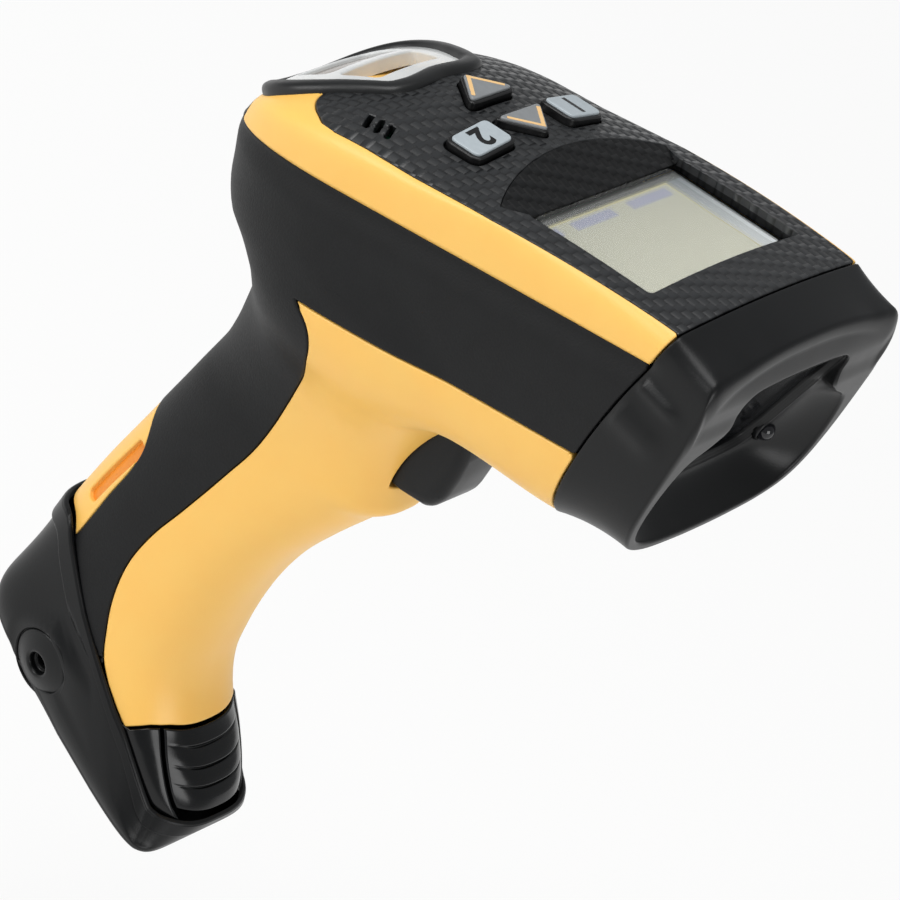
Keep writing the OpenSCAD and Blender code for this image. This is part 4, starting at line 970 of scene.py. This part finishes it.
# Clear polycarbonate, near white all over: a painted highlight for the light it catches.
lens = finish("clear_lens_painted_highlight", ("#D6D9DA", "#F4F5F3"), 0.14, 120.0,
              sockets={"Transmission Weight": 0.15})
u, v = np.meshgrid(np.linspace(-134, -105.5, 110), np.linspace(-21, 21, 150), indexing="ij")
sheet = skin(head_place(u, v, loop_top(u, v) - 1.5), inside=head_core)
u, v, w = in_head(sheet["v"])
inner_line = np.array([(-106.3, 0), (-106.3, 11.6), (-107.2, 13.4), (-110, 15.0), (-114, 17.2),
                       (-119, 19.4), (-124, 20.2), (-127.6, 19.4), (-131, 16), (-133.2, 10),
                       (-133.4, 0)])
inner_line = both_halves(inner_line)
eye = inside_by(u, v, rounded_outline([(-111.2, 11.2), (-119.6, 13.6), (-119.6, -13.6),
                                       (-111.2, -11.2)], 1.6))
rear_eye = inside_by(u, v, rounded_outline([(-122.2, 14.2), (-130.4, 12.6), (-130.4, -12.6),
                                            (-122.2, -14.2)], 2.5))
frame_lens = trim(sheet, np.minimum.reduce([inside_by(u, v, inner_line), -eye, -rear_eye]), 0.6)
piece("indicator_lens_frame", walled(frame_lens, 2.6), lens, "body", "lens", "indicator_lens")

# Smoke-tinted clear plastic: a dark brown pane with a sharp reflection.
tinted = finish("tinted_light_pipe", ("#4A3B2C", "#6E5B46"), 0.12, 90.0)
pane = trim(dict(sheet, v=sheet["v"] - sheet["up"] * 1.0), rear_eye + 0.4, 0)
piece("indicator_rear_pane", pane, tinted, "body", "lens")
u, v = np.meshgrid(np.linspace(-135, -105, 40), np.linspace(-20, 20, 40), indexing="ij")
floor_under = skin(head_place(u, v, loop_top(u, v) - 6.0 + 1.6 * np.exp(-((v + 8) / 9) ** 2)),
                   inside=head_core)
piece("upper_housing_saddle", floor_under, yellow, "body", "yellow")

# ---- Nose cap ----------------------------------------------------------------------------------
# The black front cap is one moulding: a flared sleeve with a deep brow over the scan window and a
# funnel that narrows to the glass. It is pushed over the housing and shows a fine seam behind.


def full_ring(half):
    k = np.asarray(half, float)
    k = np.concatenate([k[1:2] * (-1, 1), k, k[-2:-1] * (-1, 1)])
    fine = np.linspace(0, len(half) - 1, 14 * (len(half) - 1) + 1)
    side = np.stack([spline(fine, np.arange(-1, len(half) + 1), k[:, i]) for i in (0, 1)], 1)
    return np.concatenate([side, side[-2:0:-1] * (-1, 1)])


edge = full_ring([(0, 0.6), (9, 0.4), (17.6, -0.3), (25, -1.3), (30.8, -1.9), (34.8, -2.9),
                  (36.5, -6.4), (37, -13.5), (37, -24), (36.3, -35.5), (34.6, -43.4), (30.2, -49.4),
                  (22, -52.7), (11, -54), (0, -54.4)])
outer = full_ring([(0, -1.2), (9, -1.4), (17.2, -2.4), (24.2, -4.0), (29.4, -5.8), (33, -8.4),
                   (35, -13), (36.2, -20), (36.5, -28), (36, -36.5), (34.4, -44), (30.2, -49.8),
                   (22, -52.6), (11, -53.8), (0, -54.1)])
mouth = full_ring([(0, -7.4), (8, -7.5), (14, -7.8), (18.0, -8.6), (20.0, -10.6), (20.2, -13.6),
                   (20.8, -17.2), (24.6, -20.6), (30.6, -24.6), (33.0, -33), (32.2, -42.6),
                   (28.4, -48.4), (21, -51.4), (10.5, -52.6), (0, -52.9)])
pane_edge = full_ring([(0, -9.2), (7.5, -9.2), (13.5, -9.4), (17.4, -10), (19.2, -11.6),
                       (19.4, -14.5), (19.4, -18.5), (19.4, -23), (19.4, -28), (19.4, -33),
                       (19.2, -38), (18, -41.6), (14, -43.2), (7, -43.6), (0, -43.6)])


def front_x(w):
    return nose_x + 2.2 - 0.7 * ease((w + 18) / 5) - 3.1 * ease((w + 10) / 11.5)


def pane_x(w):
    return 57 + 7.6 * (w + 43.6) / 34.6


def at(flat, x):
    return np.stack(np.broadcast_arrays(x, flat[:, 0], nose_z + flat[:, 1]), 1)


fine_c = np.linspace(-17, 17, 4001)
seam = on_head(0.0, fine_c)
seam_turn = np.unwrap(np.arctan2(seam[:, 1], seam[:, 2] - nose_z + 27))
ring_c = np.interp(np.arctan2(edge[:, 0], edge[:, 1] + 27), seam_turn - seam_turn[2000], fine_c)


def evened(ring, times):
    for i in range(times):
        ring = ring / 2 + np.roll(ring, 1, 0) / 4 + np.roll(ring, -1, 0) / 4
    return ring


def seam_ring(inset):
    return evened(on_head(0.0, ring_c, inset) + (0.22, 0, 0), 6)


rear, rear_in = seam_ring(0.0), seam_ring(0.45)
rings = [seam_ring(2.0), rear_in]
rings += [rear_in + (rear - rear_in) * np.sin(a) + np.array([0.45 * (1 - np.cos(a)), 0, 0])
          for a in np.radians((20, 45, 70, 90))]
shoulder = at(edge, front_x(edge[:, 1]) - 0.8)
start = rings[-1]
side = np.abs(ring_c)
streak = 0.9 * np.exp(-((side - 7.8) / 0.28) ** 2) + 1.0 * np.exp(-((side - 9.1) / 0.42) ** 2)
for k in np.linspace(0, 1, 26)[1:]:
    ring = evened(start * (1 - k) + shoulder * k, int(70 * np.sin(np.pi * k)))
    ring[:, 1] += np.sign(ring[:, 1]) * streak * ease(k / 0.08) * (1 - ease((k - 0.5) / 0.42))
    rings.append(ring)
inward = mouth - outer
face = np.linalg.norm(inward, axis=1, keepdims=True)
inward /= face
soft = outer + inward * np.minimum(1.5, 0.45 * face)
edge_front, soft_front = front_x(edge[:, 1]) - 0.8, front_x(soft[:, 1])
for a in np.radians(np.linspace(10, 90, 10)):
    flat = edge + (soft - edge) * (1 - np.cos(a))
    rings.append(at(flat, edge_front + (soft_front - edge_front) * np.sin(a)))
for k in np.linspace(0, 1, 9)[1:]:
    flat = soft * (1 - k) + mouth * k
    rings.append(at(flat, front_x(flat[:, 1])))
deeper = pane_edge - mouth
far = np.linalg.norm(deeper, axis=1, keepdims=True)
deeper /= far
lip = np.minimum(0.8, 0.3 * far)
for a in np.radians((25, 50, 75, 90)):
    flat = mouth + deeper * lip * np.sin(a)
    rings.append(at(flat, front_x(mouth[:, 1]) - 0.8 * (1 - np.cos(a))))
steps = np.minimum(1.0, far / 4)
start, start_x = mouth + deeper * lip, front_x(mouth[:, 1]) - 0.8
end = pane_edge - deeper * steps * 2.1
end_x = pane_x(end[:, 1]) + 1.3
for k in np.linspace(0, 1, 15)[1:]:
    rings.append(at(start * (1 - k) + end * k, end_x + (start_x - end_x) * (1 - k) ** 1.8))
for e, rise in ((2.0, 0.9), (1.4, 0.85), (1.3, 0.45), (0.7, 0.4), (0.6, 0.0), (0.0, -0.1),
                (0.0, -1.3)):
    flat = pane_edge - deeper * steps * e
    rings.append(at(flat, pane_x(flat[:, 1]) + rise))
cap_skin = skin(np.array(rings), wrap=True)
face_out(cap_skin, (cap_skin["v"] - (54, 0, 186)) * (cap_skin["v"][:, :1] < 56))
boss = np.array([59.6, 23.4, 172.4])
collar = smooth_line([(3.1, -3.5), (3.1, -0.4), (2.95, 0.0), (2.7, 0.1), (2.5, -0.1), (2.45, -2.0)],
                     4)
spin = np.radians(np.linspace(0, 360, 65)[:-1])


def turned_on_x(profile, place):
    q = np.stack([np.broadcast_to(profile[:, 1:], (len(profile), len(spin))),
                  profile[:, :1] * np.cos(spin), profile[:, :1] * np.sin(spin)], -1) + place
    m = skin(q, wrap=True)
    return face_out(m, m["v"] - place + (3, 0, 0))


cap_skin = join(cap_skin, turned_on_x(collar, boss))

# Black polycarbonate from a satin tool: deep black with soft streaks of light on its curves.
satin = finish("satin_black_polycarbonate", ("#08090A", "#0E0F10"), (0.3, 0.42), 110.0, 3.0,
               grain=(2400.0, 2.0, 0.1, 0.0002), sockets={"Specular IOR Level": 0.3})
piece("nose_cap_shell", cap_skin, satin, "body", "black", "nose_cap")

# The window is a dark coated pane, set back under the brow and leaning forward at the top.
glass = finish("dark_coated_scan_window", "#0A0B0E", (0.06, 0.16), 70.0, sockets={"IOR": 1.14})
middle = np.array([(0.0, -26.5)])
plates = [middle + (pane_edge - middle) * k for k in (1.03, 0.8, 0.5, 0.2, 0.0)]
pane = skin(np.array([at(q, pane_x(q[:, 1]) - 0.7) for q in plates]), wrap=True,
            inside=(30, 0, 186))
piece("scan_window_pane", pane, glass, "body", "scan_glass", "scan_window")

# The aimer's lens is a coated glass ball, nearly black with one small bright point.
optic = finish("coated_ball_lens", "#141418", (0.05, 0.1), 200.0)
ball = np.array([(2.35 * np.sin(a), 2.35 * np.cos(a) - 0.2)
                 for a in np.radians(np.linspace(0, 120, 24))])
piece("aimer_lens_ball", turned_on_x(ball, boss), optic, "body", "optic", "aimer_lens")

# ---- Trigger -----------------------------------------------------------------------------------
# A thick black pad with a round front, moulded in satin polycarbonate together with its arm. The
# arm turns on a steel pin in the neck, and a spring behind the pad pushes it forward.
pad_half, arm_half = 8.5, 5.5
pads = bmesh.new()
face = smooth_line([(10.1, 121), (11.4, 119.6), (13.6, 119), (15.4, 119.2), (16.4, 121),
                    (16.7, 124.5), (16.6, 129), (15.9, 133.4), (14.6, 136.4), (12, 136.8)], 4)
rear_face = smooth_line([(10.4, 116.6), (8, 116.4), (6.2, 117.8), (5.8, 121), (7.9, 128.2),
                         (10, 135.4)], 4)
for line, ball_r in ((face, 3.0), (rear_face, 0.8)):
    for bx, bz in line:
        for side in (-1, 1):
            spot = (bx / 1000, side * (pad_half - ball_r) / 1000, bz / 1000)
            bmesh.ops.create_icosphere(pads, subdivisions=3, radius=ball_r / 1000,
                                       matrix=Matrix.Translation(spot))
hull = bmesh.ops.convex_hull(pads, input=pads.verts)
bmesh.ops.delete(pads, geom=list({e for e in hull["geom_interior"] + hull["geom_unused"]
                                  if isinstance(e, bmesh.types.BMVert)}), context="VERTS")
arm_side = [(1.7, 142), (2.6, 144.6), (5.1, 145.4), (8.5, 143), (13.1, 138), (13.1, 125),
            (8.8, 126), (6.8, 134)]
low = [pads.verts.new((a / 1000, -arm_half / 1000, b / 1000)) for a, b in arm_side]
high = [pads.verts.new((a / 1000, arm_half / 1000, b / 1000)) for a, b in arm_side]
pads.faces.new(low)
pads.faces.new(high[::-1])
for i in range(len(low)):
    j = (i + 1) % len(low)
    pads.faces.new((low[j], low[i], high[i], high[j]))
bmesh.ops.recalc_face_normals(pads, faces=pads.faces)
mesh = bpy.data.meshes.new("trigger_pad")
pads.to_mesh(mesh)
pads.free()
mesh.polygons.foreach_set("use_smooth", [True] * len(mesh.polygons))
mesh.set_sharp_from_angle(angle=np.radians(35))
mesh.materials.append(satin)
obj = bpy.data.objects.new("trigger_pad", mesh)
scene.collection.objects.link(obj)
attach(obj, "trigger")
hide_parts("trigger")

# ---- Back strip --------------------------------------------------------------------------------
# A yellow insert of the inner housing shows through a round-ended opening in the rubber, with a
# shallow groove along each of its sides, its floor coloured a deeper orange as painted shade.
strip = skin(on_grip(np.linspace(44, 92, 150)[:, None], np.radians(np.linspace(105, 255, 260)),
                     0.15), inside=grip_core)
x, y, z = strip["v"].T
above_foot = -inside_by(x, z, np.concatenate([foot_edge + (0, 0.4),
                                              [(-17.4, 0), (-80, 0), (-80, 51)]]))
groove = plate(z - 69, np.abs(y) - 15.6, 10.5, 1.15, 1.1)
face = trim(strip, np.minimum.reduce([inside_by(x, z, strip_zone) - 0.15, above_foot, groove]), 0.4)
piece("back_strip_insert", walled(face, 1.4), yellow, "body", "yellow", "back_strip")
# The groove's floor is painted a deeper orange without shine: painted shade in the groove.
painted_shade = finish("orange_painted_shade_strip_groove", ("#E5841A", "#EE9428"), 0.45, 90.0, 3.0)
floor_strip = trim(dict(strip, v=strip["v"] - strip["up"] * 1.1), 0.3 - groove, 0)
piece("back_strip_groove", floor_strip, painted_shade, "body", "yellow")

# ---- Foot --------------------------------------------------------------------------------------
# The battery's boot: a black moulding with a raised rim along its upper edge and round charging
# dishes in its sides. It slides off the grip with the battery.
edge_x, edge_h = np.array(foot_line + [(-12.9, 24.5), (-8.6, 21.8), (6.1, 9.8), (8.4, 9.2),
                                       (21.1, 9.4)]).T


def foot_top(a, inset):
    z = np.full_like(a, 40.0)
    for i in range(12):
        z = (z + np.interp(on_grip(z, a, inset, 3.0)[..., 0], edge_x, edge_h)) / 2
    return on_grip(z, a, inset, 3.0)


def under_z(x):
    d = np.maximum(9.1 - x, 0)
    return d * (0.175 + 0.002 * d)


def foot_bottom(a, inset, lift):
    ca, sa = np.cos(a), np.sin(a)
    x = -21.0 + (33.6 - inset) * np.sign(ca) * np.abs(ca) ** 0.25
    half = 19.0 + 2.0 * (x + 54.4) / 66.8 - inset
    return np.stack([x, half * np.sign(sa) * np.abs(sa) ** 0.25, under_z(x) + lift], -1)


def foot_point(t, a, inset, lift):
    t, a = np.broadcast_arrays(t, a)
    out = (12.2 * t ** 4 * (1 - t))[..., None]
    ca = np.cos(a)
    bulge = np.stack([1.5 * np.minimum(ca, 0) * np.abs(ca), 0.9 * np.sin(a), np.zeros_like(a)], -1)
    k = t[..., None]
    return foot_top(a, inset) * (1 - k) + foot_bottom(a, inset, lift) * k + out * bulge


turns = np.radians(np.linspace(0, 360, 281)[:-1])
turns = turns + 0.12 * np.sin(4 * turns)
rows = []
tall = np.linalg.norm(foot_top(turns, 0.0) - foot_bottom(turns, 0.0, 0.0), axis=1)
for k in np.linspace(0, 1, 8):
    rows.append(foot_point(np.array(0.0), turns, -0.8 + 0.9 * (1 - np.sin(np.pi / 2 * k)), 0)
                + (0, 0, 0.7 * np.cos(np.pi / 2 * k)))
for k in np.concatenate([np.linspace(0.005, 0.3, 50), np.linspace(0.31, 1, 44)]):
    band_low, fade = np.minimum(4.6, tall * 0.3), np.minimum(1.3, tall * 0.08)
    proud = -0.9 * (1 - ease((k * tall - band_low) / fade))
    rows.append(foot_point(np.array(k), turns, proud, 1.6 * ease((k - 0.6) / 0.4)))
for a in np.radians(np.linspace(10, 90, 8)):
    rows.append(foot_bottom(turns, 1.8 * (1 - np.cos(a)), 1.6 * (1 - np.sin(a))))
last = rows[-1]
for k in (0.25, 0.5, 0.75, 1.0):
    ring = last * (1 - k) + np.array([-21.0, 0, 0]) * k
    ring[:, 2] = under_z(ring[:, 0])
    rows.append(ring)


def boot_skin(rows):
    boot = skin(rows, wrap=True)
    return face_out(boot, boot["v"] - (-22, 0, 25))


rows = np.array(rows)
boot = boot_skin(rows)
# The boot's side is made flat round each dish, and the dish's seat is then cut out of it.
dish_spot, dish_hole = np.array([-29.0, 20, 18.3]), 8.15
dish_at, dish_turn = {}, {}
for side in (-1, 1):
    far = np.linalg.norm(boot["v"] - dish_spot * (1, side, 1), axis=1)
    ring = (far > 7.5) & (far < 10.5)
    axis = boot["n"][ring].mean(0)
    axis /= np.linalg.norm(axis)
    dish_at[side] = boot["v"][ring].mean(0)
    dish_turn[side] = np.array(Vector(axis).to_track_quat("Z", "X").to_matrix())
    q = (rows - dish_at[side]) @ dish_turn[side]
    flat = ease((12 - np.hypot(q[..., 0], q[..., 1])) / 3) * ease((5 - np.abs(q[..., 2])) / 2.5)
    rows = rows - (flat * q[..., 2])[..., None] * axis
boot = boot_skin(rows)
to_dish = np.full(len(boot["v"]), 99.0)
for side in (-1, 1):
    q = (boot["v"] - dish_at[side]) @ dish_turn[side]
    to_dish = np.minimum(to_dish, np.where(np.abs(q[:, 2]) < 4,
                                           np.hypot(q[:, 0], q[:, 1]) - dish_hole, 99.0))
boot = trim(boot, to_dish, 0.5)
piece("foot_cap_boot", walled(boot, 1.8), satin, "battery", "black", "foot_cap")

profile = np.array([(9.0, -4.0), (9.0, -0.1), (8.9, 0.06), (8.7, 0.06), (8.55, -0.1), (8.4, -0.6),
                    (8.25, -0.6), (8.05, -0.2), (7.2, 0.15), (5.6, 0.7), (4.2, 1.05), (3.4, 1.15),
                    (2.95, 1.0), (2.7, 0.4), (2.6, -0.6), (2.3, -0.8), (2.0, -0.6), (1.8, -1.0),
                    (1.7, -4.6), (0.0, -4.6)])
profile = smooth_line(profile * (0.97, 1), 4)
spin = np.radians(np.linspace(0, 360, 97)[:-1])
for side, name in ((-1, "right"), (1, "left")):
    q = np.stack([profile[:, :1] * np.cos(spin), profile[:, :1] * np.sin(spin),
                  profile[:, 1:] + 0 * spin], -1)
    dish = skin(q, wrap=True, inside=(0, 0, -6))
    dish.update({k: dish[k] @ dish_turn[side].T for k in ("v", "n", "up")})
    dish["v"] = dish["v"] + dish_at[side]
    nodes = ("charge_contacts",) if side == 1 else ()
    piece("charge_dish_" + name, dish, satin, "battery", "contact", *nodes)

# ---- Toe and release latch ---------------------------------------------------------------------
# Two glossy posts flank the latch under the yellow front. The latch's face has three finger
# grooves, deep in the middle and fading to the sides.

# Black polycarbonate from a polished tool: sharp highlights beside the satin boot.
shiny = finish("glossy_black_polycarbonate", "#090A0B", (0.16, 0.24), 300.0,
               sockets={"Specular IOR Level": 0.36})
toe_z = np.linspace(8, 28, 210)[:, None]
toe_a = np.radians(np.linspace(-120, 120, 360))
toe = skin(on_grip(toe_z, toe_a, 0.12), inside=(-25, 0, 20))
x, y, z = toe["v"].T
latch_top, latch_end = np.array([-4.0, 26.5]), np.array([8.6, 12.5])
line = (latch_end - latch_top) / np.linalg.norm(latch_end - latch_top)
ahead = (x - latch_top[0]) * -line[1] + (z - latch_top[1]) * line[0]
latch = dict(toe)
depth = np.zeros(len(x))
for level in (23.2, 19.8, 16.4):
    across = np.clip(1.05 - (np.abs(y) / 15.5) ** 2, 0, 1)
    drop = np.where(z > level, ease(1 - (z - level) / 0.45), ease(1 - (level - z) / 2.4))
    slit = 1.5 * np.exp(-((z - level - 0.05) / 0.24) ** 2)
    depth = np.maximum(depth, (1.3 * drop + slit) * across * ease((ahead - 0.2) / 9))
latch["v"] = toe["v"] - toe["up"] * depth[:, None]
latch["n"] = facing(latch)
toe_top = np.interp(x, [-7.6, -5, -2.4, 3], [23.4, 25.6, 26.8, 27.3])
latch = trim(latch, np.minimum.reduce([ahead - 0.35, z - 11.7, toe_top - 0.8 - z]), 0.4)
piece("release_latch_face", walled(latch, 1.8), shiny, "latch", "gloss", "release_latch")
to_foot = z - np.interp(x, edge_x, edge_h)
share = np.clip(to_foot / np.maximum(to_foot - ahead, 0.1), 0, 1)
posts = dict(toe)
posts["v"] = toe["v"] + toe["up"] * (1.5 * np.sqrt(share * (1 - share)))[:, None]
posts["n"] = facing(posts)
posts = trim(posts, np.minimum.reduce([-ahead - 0.05, to_foot * 0.8 - 0.1, toe_top - 0.6 - z]), 0.4)
piece("latch_frame_posts", walled(posts, 1.8), shiny, "battery", "gloss", "latch_frame")

# ---- Inner pieces ------------------------------------------------------------------------------
# What lies inside keeps its solids: boards, optics, the trigger's parts, contacts and the battery.
# Each has the look of its usual material, such as green solder resist on the boards, bright steel
# on the springs and matt black nylon on the holders.
for name, colour, dull, scale, metal, nodes in (
        ("green_solder_resist", ("#14503A", "#1D6A4C"), (0.3, 0.45), 240.0, 0.0,
         ("key_board", "indicator_board", "main_board", "light_board")),
        ("bright_spring_steel", ("#B9BCBE", "#D2D5D7"), (0.22, 0.34), 900.0, 1.0,
         ("key_switches", "trigger_pin", "trigger_spring", "latch_spring", "radio_module")),
        ("black_moulded_nylon", ("#1B1C1D", "#262729"), (0.5, 0.65), 500.0, 0.0,
         ("beeper", "scan_engine", "engine_bracket", "trigger_mount", "trigger_switch",
          "window_seal", "contact_block", "pack_carrier")),
        ("coated_optical_glass", ("#30303C", "#3C3C4C"), (0.03, 0.08), 200.0, 0.0,
         ("engine_lens",)),
        ("opal_diffuser", ("#E8E6E0", "#F4F3EF"), (0.4, 0.5), 300.0, 0.0,
         ("light_diffuser",)),
        ("gold_plated_brass", ("#C79A3A", "#E0B75A"), (0.2, 0.3), 700.0, 1.0,
         ("contact_pins",)),
        ("grey_battery_case", ("#35383B", "#43474B"), (0.45, 0.6), 400.0, 0.0,
         ("battery_case",)),
        ("blue_shrink_sleeve", ("#3C74A8", "#4C88BE"), (0.25, 0.35), 300.0, 0.0,
         ("battery_cells",))):
    made = finish(name, colour, dull, scale, 3.0, sockets={"Metallic": metal})
    for node in nodes:
        recoat(node, made)
